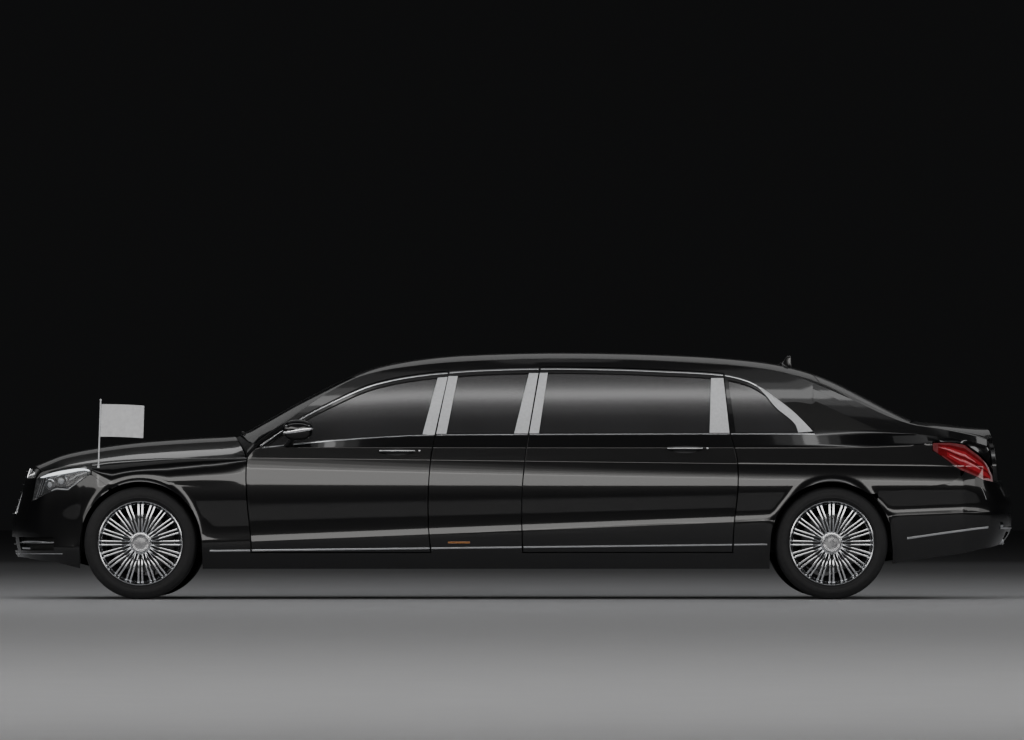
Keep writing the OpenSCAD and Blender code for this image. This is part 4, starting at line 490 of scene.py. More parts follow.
OPEN = {
    "front": opening(-1568, -1520, cut_x(cut_b, 1058) - 82, cut_x(cut_b, 1440) - 82 * 0.8),
    "rear": opening(cut_x(cut_c, 1062) + 66, cut_x(cut_c, 1450) + 56, cut_x(cut_d, 1066) - 132,
                    cut_x(cut_d, 1430) - 84),
    "middle": opening(cut_x(cut_b, 1058) + 70, cut_x(cut_b, 1440) + 62, cut_x(cut_c, 1062) - 92,
                      cut_x(cut_c, 1450) - 64),
    "quarter": opening(cut_x(cut_d, 1066) + 34, cut_x(cut_d, 1430) + 26, 1862, 1846),
}


def mix2(a, b, t):
    return (mixed(a[0], b[0], t), mixed(a[1], b[1], t))


def on_cabin(p, t=0.0):
    return V(p[0], -cabin_y(p[0], p[1]) + t, p[1])


def on_cabin_grid(g, t=0.0):
    return [[on_cabin(p, t) for p in r] for r in g]


def frame_path(low_a, high_a, top, high_b, low_b, n):
    return ([mix2(low_a, high_a, i / n) for i in range(n)] + list(top)
            + [mix2(high_b, low_b, i / n) for i in range(1, n + 1)])


def rooted(low, high, d=14.0):
    """The lower end of an edge, drawn out downward along the edge's own line."""
    k = d / (high[1] - low[1])
    return (low[0] - (high[0] - low[0]) * k, low[1] - (high[1] - low[1]) * k)


def door_frame(shape, open_, outer_a, outer_b, xa, xb):
    n, m = 12, len(open_[2]) - 1
    inner = frame_path(rooted(open_[0], open_[2][0]), open_[2][0], open_[2], open_[2][m],
                       rooted(open_[1], open_[2][m]), n)
    top = [(x, window_z(x)) for x in spread((xa, xb, m))]
    outer = frame_path(outer_a, top[0], top, top[m], outer_b, n)
    inset = [p if i < n + m else (p[0] - 14 * clamped((p[1] - belt_z(p[0])) / 300, 0.2, 1), p[1])
             for i, p in enumerate(outer)]
    shape.shell(on_cabin_grid([inner, outer], 1), on_cabin_grid([inner, inset], 42))


def pane(name, open_, body, side, node):
    m = len(open_[2]) - 1
    g = []
    for t in spread((0, 1, 10)):
        row = []
        for i, (x, z) in enumerate(open_[2]):
            low = mixed(open_[0][0], open_[1][0], i / m)
            p = mix2((low, belt_z(low) + 0.8), (x, z - 0.45), t)
            row.append((p[0] + (0.3 if i == 0 else -0.3 if i == m else 0), p[1]))
        g.append(row)
    s = Shape().shell(on_cabin_grid(g, 12), on_cabin_grid(g, 12 + screen_t))
    s.done(name, GLASS, body, 40, side, node, "dark_glass")


FRAMES = {
    "front": ((-1616, belt_z(-1616) - 14), (cut_x(cut_b, 1044) - 3, 1044), -1600, cut_x(cut_b, 1458) - 3),
    "rear": ((cut_x(cut_c, 1048) + 3, 1048), (cut_x(cut_d, 1050) - 3, 1050), cut_x(cut_c, 1486) + 3,
             cut_x(cut_d, 1448) - 3),
}


def doors():
    for end in DOOR:
        for word, side in SIDES:
            body = "door_%s_%s" % (end, word)
            s = Shape().shell(door_grid(end, 0, 0), door_grid(end, 110, panel_t))
            painted(s, "skin_" + body, body, body, side, 2.2)
            s = Shape()
            door_frame(s, OPEN[end], *FRAMES[end])
            painted(s, "frame_" + body, body, body, side, 1.5)
            pane("pane_" + body, OPEN[end], body, side, "glass_%s_%s" % (end, word))


def edge_post(shape, low_a, xa, low_b, xb):
    """Post between a front and a rear edge, from under the belt to the rail."""
    edges = []
    for low, x in ((low_a, xa), (low_b, xb)):
        high = (x, window_z(x) - frame_h - 0.3)
        edges.append((rooted(low, high), high))
    g = [[mix2(low, high, t) for low, high in edges] for t in spread((0, 1, 14))]
    shape.shell(on_cabin_grid(g, 1), on_cabin_grid(g, 42))


def middle_panel(shape):
    columns = []
    for t in spread((0, 1, 12)):
        xt = mixed(cut_x(cut_b, 1058), cut_x(cut_c, 1062), t)
        columns.append([flank_pt(mixed(cut_x(cut_b, z) + 3, cut_x(cut_c, z) - 3, t), z)
                        for z in side_rows(xt, sill_top, belt_z(xt))])
    g = turned(columns)
    shape.shell(g, moved(g, (0, 60, 0)))
    m = OPEN["middle"]
    xb, xc = cut_x(cut_b, 1430) + 3, cut_x(cut_c, 1450) - 3
    edge_post(shape, (cut_x(cut_b, 1058) + 3, m[0][1]), xb, m[0], m[2][0][0])
    edge_post(shape, m[1], m[2][-1][0], (cut_x(cut_c, 1062) - 3, m[1][1]), xc)


def flush_w(x):
    return mixed(26, 96, clamped((x - 1800) / 150, 0, 1)) - 46 * clamped((x - 2476) / 80, 0, 1)


def ledge_d(x):
    if x > 2556:
        return 32
    return 27.2 if -1012 < x < 1978.5 else 7.0


RAIL_STOPS = [-1691, -1012, cut_x(cut_b, 1460), cut_x(cut_c, 1450) - 4, cut_x(cut_d, 1410), 1930, 1978.5,
              2556, 3050]


def rail_low(x):
    b, c, d = RAIL_STOPS[2:5]
    if x < -1694:
        return hood_z(x) + 0.3
    if x < -1625:
        return belt_z(x) + panel_gap
    if x > 1930:
        return edge_z(x) - 40
    return window_z(x) + (-frame_h if b < x < c or x > d else panel_gap)


def roof_rail(shape):
    xs = [-1698, -1695.5]
    for k, n in enumerate((24, 24, 16, 24, 24, 3, 24, 18)):
        xs += spread((RAIL_STOPS[k] + (0.4 if k else 0), RAIL_STOPS[k + 1] - 0.4, n))
    low = [min(rail_low(x), edge_z(x) - 8) for x in xs]
    outer = [[on_cabin((x, mixed(z, edge_z(x), t))) for x, z in zip(xs, low)] for t in spread((0, 1, 4))]
    for extra, sunk in ((-18, 0), (0, 0), (3, 1), (43, 1)):
        row = []
        for x in xs:
            y = edge_y(x) - flush_w(x) - extra if extra >= 0 else edge_y(x) - flush_w(x) * 0.4
            row.append(V(x, -y, cabin_top(x, y) - sunk * ledge_d(x)))
        outer.append(row)
    inner = []
    for j, row in enumerate(outer):
        line = []
        for p in row:
            k = clamped((p.x + 1200) / 120, 0, 1) * max(0, (j - 2) / 2) if j < 5 else 0
            line.append(p + (V(0, 42 - 16 * k, -j * 3 - 26 * k) if j < 5 else V(0, 12.6, -34)))
        inner.append(line)
    shape.shell(outer, inner)


def arch_z(x, axle, low):
    d = abs(x - axle)
    return low if d >= arch_r else tyre_r + math.sqrt(arch_r ** 2 - d ** 2)


def fender_pt(x, low, t):
    z1 = max(735, low + 24)
    ze, ye = hood_z(x), hood_y(x) + panel_gap / 2
    y1 = side_y(x, z1)
    if t < 0.5:
        z = mixed(low, z1, t / 0.5)
        return V(x, -side_y(x, z), z)
    u = (t - 0.5) / 0.5
    z = mixed(z1, ze, sin(u * pi / 2))
    arc_y = mixed(y1, ye, 1 - cos(u * pi / 2))
    door_like = min(side_y(x, z), mixed(side_y(x, z), ye, u ** 8))
    w = clamped((-1700 - x) / 320, 0, 1)
    return V(x, -mixed(door_like, arc_y, w * w * (3 - 2 * w)), z)


def fender(shape):
    xb = -1699
    xs = [mixed(-2690, -2560, i / 8) for i in range(8)]
    xs += [front_axle - arch_r * cos(math.radians(mixed(62, 180, k / 34))) for k in range(35)]
    xs += [mixed(front_axle + arch_r + 1.5, xb, k / 12) for k in range(13)]

    def low(x):
        if x > front_axle + arch_r:
            return sill_top
        t = (x + 2690) / 128.0
        return max(arch_z(x, front_axle, tyre_r), mixed(800, 705, t))
    g = []
    for j in range(31):
        row = []
        for x in xs:
            p = fender_pt(x, low(x), j / 30)
            nx = x
            if x > front_axle + arch_r:
                cut = clamped((x - front_axle - arch_r) / (xb - front_axle - arch_r), 0, 1)
                nx = mixed(x, cut_x(cut_a, min(p.z, 906)) - panel_gap / 2, cut)
            y = p.y + (side_y(x, p.z) - side_y(nx, p.z) if p.z < 860 else 0)
            row.append(V(nx, y, p.z))
        g.append(row)
    inner = []
    for j, r in enumerate(g):
        a = pi / 2 * clamped(2 * j / 30 - 1, 0, 1)
        inner.append([p + V(0, 17.6 * cos(a), -17.6 * sin(a)) for p in r])
    shape.shell(g, inner)


def lamp_brow(shape):
    n = 24
    g = []
    for j in range(7):
        row = []
        for i in range(n, -1, -1):
            s, x = mixed(1.092, 0.606, i / n), mixed(-2688, -3018, i / n)
            low = nose_pt(s, seg(lamp_high, min(s, 1.084)) + 0.6)
            high = V(x, -hood_y(x) - panel_gap / 2, hood_z(x))
            k = sin(pi * j / 6.0)
            row.append(low.lerp(high, j / 6) + V(0, -0.1 * i * 8 / n, 9) * k * min(i / 3.0, 1)
                       + V(0, 1 if i == 0 else 0, 0))
        g.append(row)
    inner = []
    for j in range(7):
        inner.append([g[j][i] + (nose_in(mixed(1.092, 0.606, i / n), 12) if j == 0 else V(0, 0, -12))
                      for i in range(n + 1)])
    shape.shell(g, inner)


lamp_low_tab = [(2600, 956), (2692, 950), (2790, 884), (2895, 814)]
lamp_top_tab = [(2600, 1000), (2714, 1011), (2800, 1008), (2905, 1000)]


def quarter_panel(shape):
    xa, tip, xb = cut_x(cut_d, 700) + 3, 2690, 2872
    xs = [mixed(xa, rear_axle - arch_r - 1.5, i / 10) for i in range(11)]
    xs += [rear_axle - arch_r * cos(math.radians(mixed(0, 143, k / 40))) for k in range(41)]
    xs += [mixed(rear_axle + arch_r * 0.8, tip, i / 12) for i in range(1, 13)]
    xs += [mixed(tip, xb, i / 9) for i in range(1, 10)]
    xs = sorted(xs + [1930.5, 1931.1])
    last = len(xs) - 1

    def low(x):
        if x < rear_axle - arch_r:
            return sill_top
        return max(arch_z(x, rear_axle, tyre_r), 0 if x < rear_axle else seg(seam_tab, x))

    def heights(x):
        lo, zb = low(x), belt_z(x)
        l1, l2 = curve(lamp_low_tab, x), curve(lamp_top_tab, x)
        lower, upper = min(l1, zb - 60), min(l2, zb - 16)
        crease = 0
        if x < tip - 1:
            upper = curve(shoulder_tab, x)
            lower = min(lower, upper - 12)
            crease = 2.0
        top = edge_z(x) - 40.3 if x > 1930.8 else zb
        z1 = clamped(low_line(x), lo + 3, lower - 9)
        z2 = clamped(handle_line(x), z1 + 3, lower - 6)
        z3 = clamped(curve(shoulder_tab, x), z2 + 5, lower - 3)
        base = (spread((lo, z1 - 1.2, 7)) + spread((z1 + 1.2, z2 - 1.2, 24)) + spread((z2 + 1.2, z3 - 2.5, 7))
                + spread((z3 + 2.5, lower, 7)))
        mid = min(zb, top - 6)
        base += [mixed(lower, upper - max(crease, 0.4), j / 5) for j in range(1, 6)]
        base += [mixed(upper + crease, mid, j / 5) for j in range(6)]
        return base + [mixed(mid, top, j / 8) for j in range(1, 9)]
    cols = []
    for x0 in xs:
        zb = belt_z(x0)
        w = clamped((rear_axle - arch_r - x0) / (rear_axle - arch_r - xa), 0, 1)
        col = []
        for z in heights(x0):
            x = x0 + w * (cut_x(cut_d, min(z, zb)) + 3 - xa)
            col.append(V(x, -cabin_y(x, z) if z > zb else -side_y(x, z), z))
        cols.append(col)
    g = turned(cols)
    # The tail lamp's opening is left out of the grid
    shape.shell(g, moved(g, (0, 22, 0)), lambda r, c: not (48 <= r < 54 and c >= len(xs) - 10))
    q = OPEN["quarter"]
    edge_post(shape, (cut_x(cut_d, 1066) + 3, q[0][1]), cut_x(cut_d, 1446) + 3, q[0], q[2][0][0])


def tail_corner(shape):
    n, xq = 18, 2872
    top0 = curve(lamp_top_tab, 2872)
    g = []
    for j in range(9):
        row = []
        for i in range(n + 1):
            s, top_x = mixed(1.028, 0.72, i / n), mixed(xq, 3050, i / n)
            ze = edge_z(top_x) - 40.3
            if i == 0:
                z = mixed(top0, ze, j / 8)
                row.append(V(xq, -cabin_y(xq, z) if z > belt_z(xq) else -side_y(xq, z), z))
                continue
            low = tail_pt(s, mixed(top0, 850, (i / n) ** 1.3))
            high = V(top_x, -cabin_y(top_x, ze), ze)
            row.append(low.lerp(high, j / 8) + V(6, -4, 14) * sin(pi * j / 8) * min(i / 3.0, 1))
        g.append(row)
    shape.shell(g, moved(g, (-15.4, 15.4, 0)))


def block(shape, x0, x1, y0, y1, z0, z1):
    base = len(shape.v)
    shape.v += [V(x, y, z) for x in (x0, x1) for y in (y0, y1) for z in (z0, z1)]
    for f in ((0, 1, 3, 2), (4, 6, 7, 5), (0, 4, 5, 1), (2, 3, 7, 6), (0, 2, 6, 4), (1, 5, 7, 3)):
        shape.f.append(tuple(base + k for k in f))


def hinge_blocks(shape, cut, t, x_of):
    for z in (480, 760):
        face = cut_x(cut, z) + 3 + 26 * 45 / 110 - 1.3
        y = side_y(cut_x(cut, z), z) - 45
        block(shape, x_of(z), face, -y, -y + t, z - 12, z + 12)


def sides():
    for word, side in SIDES:
        node = "side_frame_" + word
        s = Shape()
        block(s, -1800, -1706, -885, -800, sill_top, 850)
        hinge_blocks(s, cut_a, 14, lambda z: -1710)
        hinge_blocks(s, cut_c, 10, lambda z: cut_x(cut_c, z) - 7)
        s.done("hinges_" + word, UNDER, "body", 30, side, node, "black_paint")
        s = Shape()
        xs = spread((front_axle + arch_r + 4, rear_axle - arch_r - 4, 60))
        g = [[flank_pt(x, z) for x in xs] for z in spread((sill_low, 297, 6))]
        s.shell(g, [[V(p.x, -780, p.z) for p in r] for r in g])
        middle_panel(s)
        roof_rail(s)
        quarter_panel(s)
        tail_corner(s)
        painted(s, "side_" + word, "body", node, side)
        s = Shape()
        fender(s)
        lamp_brow(s)
        painted(s, "wing_" + word, "body", "fender_" + word, side)
        for key in ("middle", "quarter"):
            pane("pane_%s_%s" % (key, word), OPEN[key], "body", side, "fixed_side_glass")


def hood_front(s): return -3100 + 80 * s * s
def hood_rear(s): return -1796 + 92 * s * s
def screen_base(s): return -1758 + 112 * s * s
def header(s): return -1052 + 44 * s * s
def roof_rear(s): return 1930 + 50 * s * s
def window_base(s): return 2590 - 40 * s * s


def roof_grid(front_edge, rear_edge, cols, rows):
    def at(i, j):
        s = (j - rows) / rows
        x = mixed(front_edge(abs(s)), rear_edge(abs(s)), i / cols)
        y = s * (edge_y(x) - flush_w(x) - 5)
        return V(x, y, cabin_top(x, y))
    return grid_of(2 * rows + 1, cols + 1, at)


def lid_deck(s, t):
    x = mixed(window_base(s) + 12, 3084, t)
    y = s * (edge_y(x) - flush_w(x) - 7 + 2 * t)
    return V(x, y, cabin_top(x, y) + 10 * t ** 6)


LID_X = [(0, 3084), (0.2, 3104), (0.4, 3124), (1, 3176)]
LID_Z = [(0, 1090), (0.2, 1040), (0.4, 1000), (1, 758)]
LID_Y = [(0, 566), (0.2, 602), (0.4, 642), (0.7, 688), (0.85, 682), (1, 656)]


def lid_back(s, t):
    top = lid_deck(s, 1)
    return V(top.x + curve(LID_X, t) - 3084 - 60 * s * s * t, top.y * curve(LID_Y, t) / 566,
             758 + (curve(LID_Z, t) - 758) * (top.z - 758) / 332)


def lids():
    def bonnet(i, j):
        s = (j - 32) / 32
        x = mixed(hood_front(s), hood_rear(s), i / 56)
        y = s * (hood_y(x) - panel_gap / 2)
        return V(x, y, hood_top(x, y))
    roof = roof_grid(lambda s: header(s) + 4, lambda s: roof_rear(s) - 4, 70, 24)
    for name, g, body, node in (("bonnet", grid_of(65, 57, bonnet), "hood", "hood"),
                                ("roof", roof, "body", "roof_panel")):
        painted(Shape().shell(g, moved(g, (0, 0, -panel_t))), name, body, node)
    front = roof_grid(screen_base, lambda s: header(s) - 1, 30, 20)
    rear = roof_grid(lambda s: roof_rear(s) + 1, window_base, 28, 20)
    for name, g, mat, node in (("front_screen", front, SCREEN, "windscreen"),
                               ("rear_screen", rear, GLASS, "rear_window")):
        Shape().shell(g, moved(g, (0, 0, -screen_t))).done(name, mat, "body", 30, 1, node, "dark_glass")
    outer, inner = [], []
    for j in range(-24, 25):
        s = j / 24
        row = [lid_deck(s, i / 28) for i in range(29)] + [lid_back(s, i / 24) for i in range(1, 25)]
        outer.append(row)
        inner.append([p + V(0 if i < 28 else -panel_t, 0, -panel_t if i <= 28 else 0)
                      for i, p in enumerate(row)])
    painted(Shape().shell(outer, inner), "boot_lid", "trunk_lid", "trunk_lid", smooth=34)


nose_top_tab = [(0, 545.5), (0.352, 545.5), (0.356, 776), (0.585, 776), (0.6, 622), (0.75, 671),
                (0.84, 698.4), (0.93, 693.4), (1.03, 764.4), (1.084, 801.8), (1.1, 792), (1.218, 704.4)]
tail_top_tab = [(0, 743), (0.62, 743), (0.68, 747.2), (0.83, 763.4), (1, 817.4), (1.023, 788.4),
                (1.106, 741.4), (1.31, 712.4), (1.57, 675.4)]


def nose_any(s, z): return flip(nose_pt(abs(s), z), -1 if s < 0 else 1)
def nose_in_any(s, t): return flip(nose_in(s, t), -1 if s < 0 else 1)
def tail_any(s, z): return flip(tail_pt(abs(s), z), 1 if s < 0 else -1)
def tail_in_any(s, t): return flip(tail_in(s, t), 1 if s < 0 else -1)


def both_halves(stops, step):
    """Places through the stops, at most a step apart, and their mirror images."""
    half = []
    for a, b in zip(stops, stops[1:]):
        n = max(1, int(math.ceil(abs(b - a) / step)))
        half += [mixed(a, b, k / n) for k in range(n)]
    half.append(stops[-1])
    return half[:0:-1] + [-v for v in half]


def bumper(ss, at, inward, levels, openings, rows):
    """Shell through the places ss, with openings of (from, to) in the rows from the first to the last."""
    def keep(r, c):
        a = abs(ss[c] + ss[c + 1]) / 2
        return not (rows[0] <= r < rows[1] and any(lo < a < hi for lo, hi in openings))
    g = turned([[at(s, z) for z in levels(abs(s))] for s in ss])
    inner = [[p + inward(s, 22) for p, s in zip(r, ss)] for r in g]
    return Shape().shell(g, inner, keep)


def bumpers():
    def levels(a):
        x = nose_pt(a, 300).x
        lo = arch_z(x, front_axle, 0) if x > front_axle - arch_r else seg(nose_low_tab, a)
        hi = seg(nose_top_tab, a)
        if lo > 282 or a > 1:
            return spread((lo, hi, 24))
        return ([mixed(lo, 312, j / 3) for j in range(3)] + [mixed(312, 398, j / 6) for j in range(6)]
                + [mixed(398, hi, j / 15) for j in range(16)])

    def levels_rear(a):
        x = tail_pt(a, 300).x
        lo = arch_z(x, rear_axle, 0) if x < rear_axle + arch_r else seg(tail_low_tab, a)
        hi = seg(tail_top_tab, a)
        start = max(432, lo + 6)
        crease = clamped(low_line(x), start + 4, hi - 6)
        return ([mixed(lo, start, j / 6) for j in range(6)] + spread((start, crease - 1.2, 5))
                + spread((crease + 1.2, hi, 12)))
    ss = both_halves([0, 0.12, 0.25, 0.352, 0.356, 0.44, 0.585, 0.6, 0.68, 0.76, 0.84, 0.93, 1.013, 1.055,
                      1.1, 1.15, 1.2], 0.025)
    s = bumper(ss, nose_any, nose_in_any, levels, ((-1, 0.35), (0.45, 0.84)), (3, 9))
    for m in (1, -1):
        cap = []
        for j in range(5):
            row = []
            for i in range(8, -1, -1):
                t = i / 8
                lo = nose_pt(mixed(0.358, 0.583, t), 775) + V(1, 0, 0)
                y = mixed(362, 466, t)
                x = hood_front(y / hood_y(hood_front(0.9))) - panel_gap
                row.append(lo.lerp(V(x, -y, hood_top(x, min(y, hood_y(x))) - 1), j / 4))
            cap.append(row)
        if m < 0:
            cap = [[flip(p, -1) for p in reversed(r)] for r in cap]
        s.shell(cap, moved(cap, (4, 0, -14)))
    painted(s, "bumper_front", "body", "front_bumper", width=2.0)
    ss = both_halves([0, 0.2, 0.38, 0.5, 0.62, 0.68, 0.76, 0.83, 0.92, 1, 1.023, 1.106, 1.2, 1.31, 1.42,
                      1.465, 1.5, 1.54, 1.562], 0.03)
    s = bumper(ss, tail_any, tail_in_any, levels_rear, ((0.38, 0.5),), (0, 6))
    painted(s, "bumper_rear", "body", "rear_bumper", width=2.0)


def side_pt(x, z): return V(x, -any_y(x, z), z)
def out_side(x): return V(0, -1, 0)
def out_nose(s): return -nose_in(s, 1.0).normalized()
def out_tail(s): return -tail_in(s, 1.0).normalized()


def band(shape, lo, hi, at=side_pt, out=out_side, proud=2.0, sunk=3.0, rows=4):
    """Rounded strip on a surface, between two lines of (place, height)."""
    outer, inner = [], []
    for t in spread((0, 1, rows)):
        lift = proud * (1 - (2 * t - 1) ** 4)
        line = [mix2(a, b, t) for a, b in zip(lo, hi)]
        outer.append([at(u, z) + out(u) * lift for u, z in line])
        inner.append([at(u, z) - out(u) * sunk for u, z in line])
    shape.shell(outer, inner)


def strip(shape, line, half, *how, **more):
    """Band of one height about a line."""
    band(shape, [(u, z - half) for u, z in line], [(u, z + half) for u, z in line], *how, **more)


def level(z, *stretches):
    return [(u, z) for u in spread(*stretches)]


def sweep(shape, path, across, up_half, n=14, up=(0, 0, 1), power=1.0):
    """Closed rounded bar along a path, with half sizes that are numbers or one per point."""
    base, last = len(shape.v), len(path) - 1
    for i, p in enumerate(path):
        t = (path[min(i + 1, last)] - path[max(i - 1, 0)]).normalized()
        side = t.cross(V(*up)).normalized()
        top = side.cross(t)
        a = across[i] if hasattr(across, "__len__") else across
        b = up_half[i] if hasattr(up_half, "__len__") else up_half
        for k in range(n):
            c, s = cos(2 * pi * k / n), sin(2 * pi * k / n)
            c = math.copysign(abs(c) ** power, c)
            s = math.copysign(abs(s) ** power, s)
            shape.v.append(p + side * (a * c) + top * (b * s))
    for i in range(last):
        for k in range(n):
            m, a = (k + 1) % n, base + i * n
            shape.f.append((a + k, a + m, a + n + m, a + n + k))
    shape.f.append(tuple(base + k for k in reversed(range(n))))
    shape.f.append(tuple(base + last * n + k for k in range(n)))


def revolve(shape, profile, centre, n=96):
    """Closed ring from (radius, offset along -Y) points about an axle."""
    base, m = len(shape.v), len(profile)
    for k in range(n):
        a = 2 * pi * k / n
        shape.v += [V(centre[0] + r * cos(a), centre[1] - y, centre[2] + r * sin(a)) for r, y in profile]
    for k in range(n):
        for i in range(m):
            a, b = base + k * m, base + (k + 1) % n * m
            j = (i + 1) % m
            shape.f.append((b + i, b + j, a + j, a + i))


def widened(line, width):
    """The line's upper twin, the same width across however steep it runs."""
    out = []
    for i, p in enumerate(line):
        a, b = line[max(i - 1, 0)], line[min(i + 1, len(line) - 1)]
        k = math.hypot(b[0] - a[0], b[1] - a[1])
        out.append((p[0] - width * (b[1] - a[1]) / k, p[1] + width * (b[0] - a[0]) / k))
    return out


def cover(shape, low_a, high_a, low_b, high_b, proud=1.6):
    """Thin plate on a window post, rounded at both edges."""
    outer, inner = [], []
    for j in range(13):
        a, b = mix2(low_a, high_a, j / 12), mix2(low_b, high_b, j / 12)
        pts = [mix2(a, b, i / 6) for i in range(7)]
        outer.append([on_cabin(p, -proud * (1 - (abs(i - 3) / 3) ** 6)) for i, p in enumerate(pts)])
        inner.append([on_cabin(p, 1.8) for p in pts])
    shape.shell(outer, inner)


BELT = {
    "front": (-1596, cut_x(cut_b, 1048) - 6),
    "middle": (cut_x(cut_b, 1054) + 6, cut_x(cut_c, 1058) - 6),
    "rear": (cut_x(cut_c, 1058) + 6, cut_x(cut_d, 1062) - 6),
    "quarter": (cut_x(cut_d, 1062) + 6, 1936),
}

LINE = {"front": (-1612, cut_x(cut_b, 1450) - 6), "middle": (cut_x(cut_b, 1455) + 6, cut_x(cut_c, 1470) - 6),
        "rear": (cut_x(cut_c, 1476) + 6, cut_x(cut_d, 1440) - 6), "quarter": (cut_x(cut_d, 1440) + 6, 1600)}


def body_of_window(key, word):
    return "door_%s_%s" % (key, word) if key in ("front", "rear") else "body"


def window_trims():
    for word, side in SIDES:
        for key, ends in BELT.items():
            xs = spread((*ends, 40))
            s = Shape()
            band(s, [(x, belt_z(x) - 12) for x in xs], [(x, belt_z(x) - 3.5) for x in xs], proud=2.6)
            line = [(x, window_z(x) - 3) for x in spread((*LINE[key], 60))]
            band(s, widened(line, -10), line, lambda x, z: on_cabin((x, z)), proud=2.4)
            s.done("bright_trim_%s_%s" % (key, word), CHROME, body_of_window(key, word), 40, side)
        f, m, r, q = (OPEN[k] for k in ("front", "middle", "rear", "quarter"))
        covers = {
            "front": [(f[1], f[2][-1], (cut_x(cut_b, 1050) - 5, 1050),
                       (cut_x(cut_b, 1448) - 5, window_z(-420) - frame_h))],
            "middle": [((cut_x(cut_b, 1062) + 5, m[0][1]), (cut_x(cut_b, 1430) + 5, m[2][0][1] - 1),
                        m[0], m[2][0]),
                       (m[1], m[2][-1],
                        (cut_x(cut_c, 1066) - 5, m[1][1]), (cut_x(cut_c, 1450) - 5, m[2][-1][1]))],
            "rear": [((cut_x(cut_c, 1062) + 5, r[0][1]), (cut_x(cut_c, 1452) + 5, r[2][0][1]), r[0], r[2][0]),
                     (r[1], r[2][-1],
                      (cut_x(cut_d, 1066) - 5, r[1][1]), (cut_x(cut_d, 1440) - 5, r[2][-1][1]))],
        }
        for key, plates in covers.items():
            s = Shape()
            for plate in plates:
                cover(s, *plate)
            s.done("post_cover_%s_%s" % (key, word), SILVER, body_of_window(key, word), 40, side)
        # Wide band that follows the quarter window's rear edge
        path = [p for p in q[2] if p[0] > 1560] + [mix2(q[2][-1], q[1], k / 10) for k in range(1, 11)]
        n = len(path) - 1
        edge, back = [], []
        for k, p0 in enumerate(path):
            x = mixed(1560, 1934, (k / n) ** 1.25)
            w = clamped((p0[0] - 1560) / 150, 0, 1)
            p1 = (p0[0], mixed(window_z(p0[0]) - 13, p0[1], w * w * (3 - 2 * w)))
            d = math.hypot(1500 - p1[0], 1080 - p1[1])
            edge.append(mix2(p1, (1500, 1080), 30 * w * w / d))
            back.append((x, max(window_z(x) - 3, belt_z(x) + 1)))
        for _ in range(12):
            inner = [mix2(mix2(edge[k - 1], edge[k + 1], 0.5), edge[k], 0.5) for k in range(1, n)]
            edge = edge[:1] + inner + edge[-1:]
        s = Shape()
        band(s, edge, back, lambda x, z: on_cabin((x, max(z, belt_z(x) + 0.5))), proud=2.4, sunk=2.0, rows=6)
        s.done("quarter_band_" + word, SILVER, side=side)


def sail_shade_bands():
    """Matte near-black band between the quarter window and the boot: painted shade on the sail panel."""
    for word, side in SIDES:
        low, high = [], []
        for x in spread((1740, 2380, 50)):
            z = max(window_z(x) + 3, belt_z(x) + 5)
            low.append((x, z))
            high.append((x, max(z + 2, min(1066 + (2380 - x) * 0.47, edge_z(x) - 48, z + (x - 1740) * 0.9))))
        s = Shape()
        band(s, low, high, lambda x, z: on_cabin((x, z)), proud=1.6, sunk=3, rows=8)
        # The band's matte near-black tone is painted shade laid over the glossy sail panel.
        s.done("sail_shade_band_" + word, DARK, side=side)


def side_strips():
    runs = (("fender", "body", -1930, cut_x(cut_a, 318) - 6),
            ("front", "door_front_%s", cut_x(cut_a, 318) + 6, cut_x(cut_b, 330) - 6),
            ("middle", "body", cut_x(cut_b, 330) + 6, cut_x(cut_c, 335) - 6),
            ("rear", "door_rear_%s", cut_x(cut_c, 335) + 6, cut_x(cut_d, 350) - 6),
            ("quarter", "body", cut_x(cut_d, 350) + 6, 1630))
    rear_z = [(0, 470), (0.5, 470), (0.81, 463), (1.0, 445), (1.374, 393)]
    for word, side in SIDES:
        for name, body, xa, xb in runs:
            s = Shape()
            line = [(x, mixed(310, 352, (x + 1899) / 3500.0)) for x in spread((xa, xb, 30))]
            strip(s, line, 6, proud=4.0)
            s.done("side_strip_%s_%s" % (name, word), CHROME, body % word if "%" in body else body, 40, side)
        s = Shape()
        strip(s, level(364, (-409, -268, 16)), 7, proud=5.0, rows=6)
        s.done("side_marker_" + word, AMBER, side=side)
        s = Shape()
        line = [(v, curve(rear_z, v)) for v in spread((1.374, 1.0, 26), (1.0, 0.81, 14))]
        strip(s, line, 9, tail_pt, out_tail, proud=4.5)
        s.done("rear_strip_" + word, CHROME, side=side)


HANDLES = {"front": (-735, 950), "rear": (1106, 966)}


def door_handles():
    for word, side in SIDES:
        for end, (cx, cz) in HANDLES.items():
            body = "door_%s_%s" % (end, word)

            def at(k, off):
                x = cx + 112 * k
                return V(x, -side_y(x, cz) - off, cz)
            ks = [i / 16 for i in range(-16, 17)]
            s = Shape()
            sweep(s, [at(k, 4 + 24 * (1 - k ** 4)) for k in ks], [5 + 3 * (1 - k ** 6) for k in ks],
                  [9 + 5 * (1 - k ** 6) for k in ks], 16, power=0.8)
            s.done("grip_" + body, PAINT, body, 50, side)
            s = Shape()
            sweep(s, [at(k, 11 + 25 * (1 - k ** 4)) for k in ks], 2.5, 3.5, 10)
            s.done("grip_trim_" + body, CHROME, body, 50, side)
            # Flat grey oval on the skin under the grip: the recess itself is not shaped, and its soft sheen
            # is painted in this matte grey.
            s = Shape()
            sweep(s, [at(k * 0.70, 0.6) + V(0, 0, -9) for k in ks], 2.0,
                  [25 * math.sqrt(max(1 - k * k, 0.02)) for k in ks], 16)
            s.done("handle_recess_sheen_" + body, CHASSIS, body, 50, side)
            s = Shape()
            lock = at(1.28, 0)
            sweep(s, [lock, lock + V(0, -3, 0), lock + V(0, -4, 0)], [7, 7, 5], [7, 7, 5], 20)
            s.done("lock_" + body, STEEL, body, 50, side)


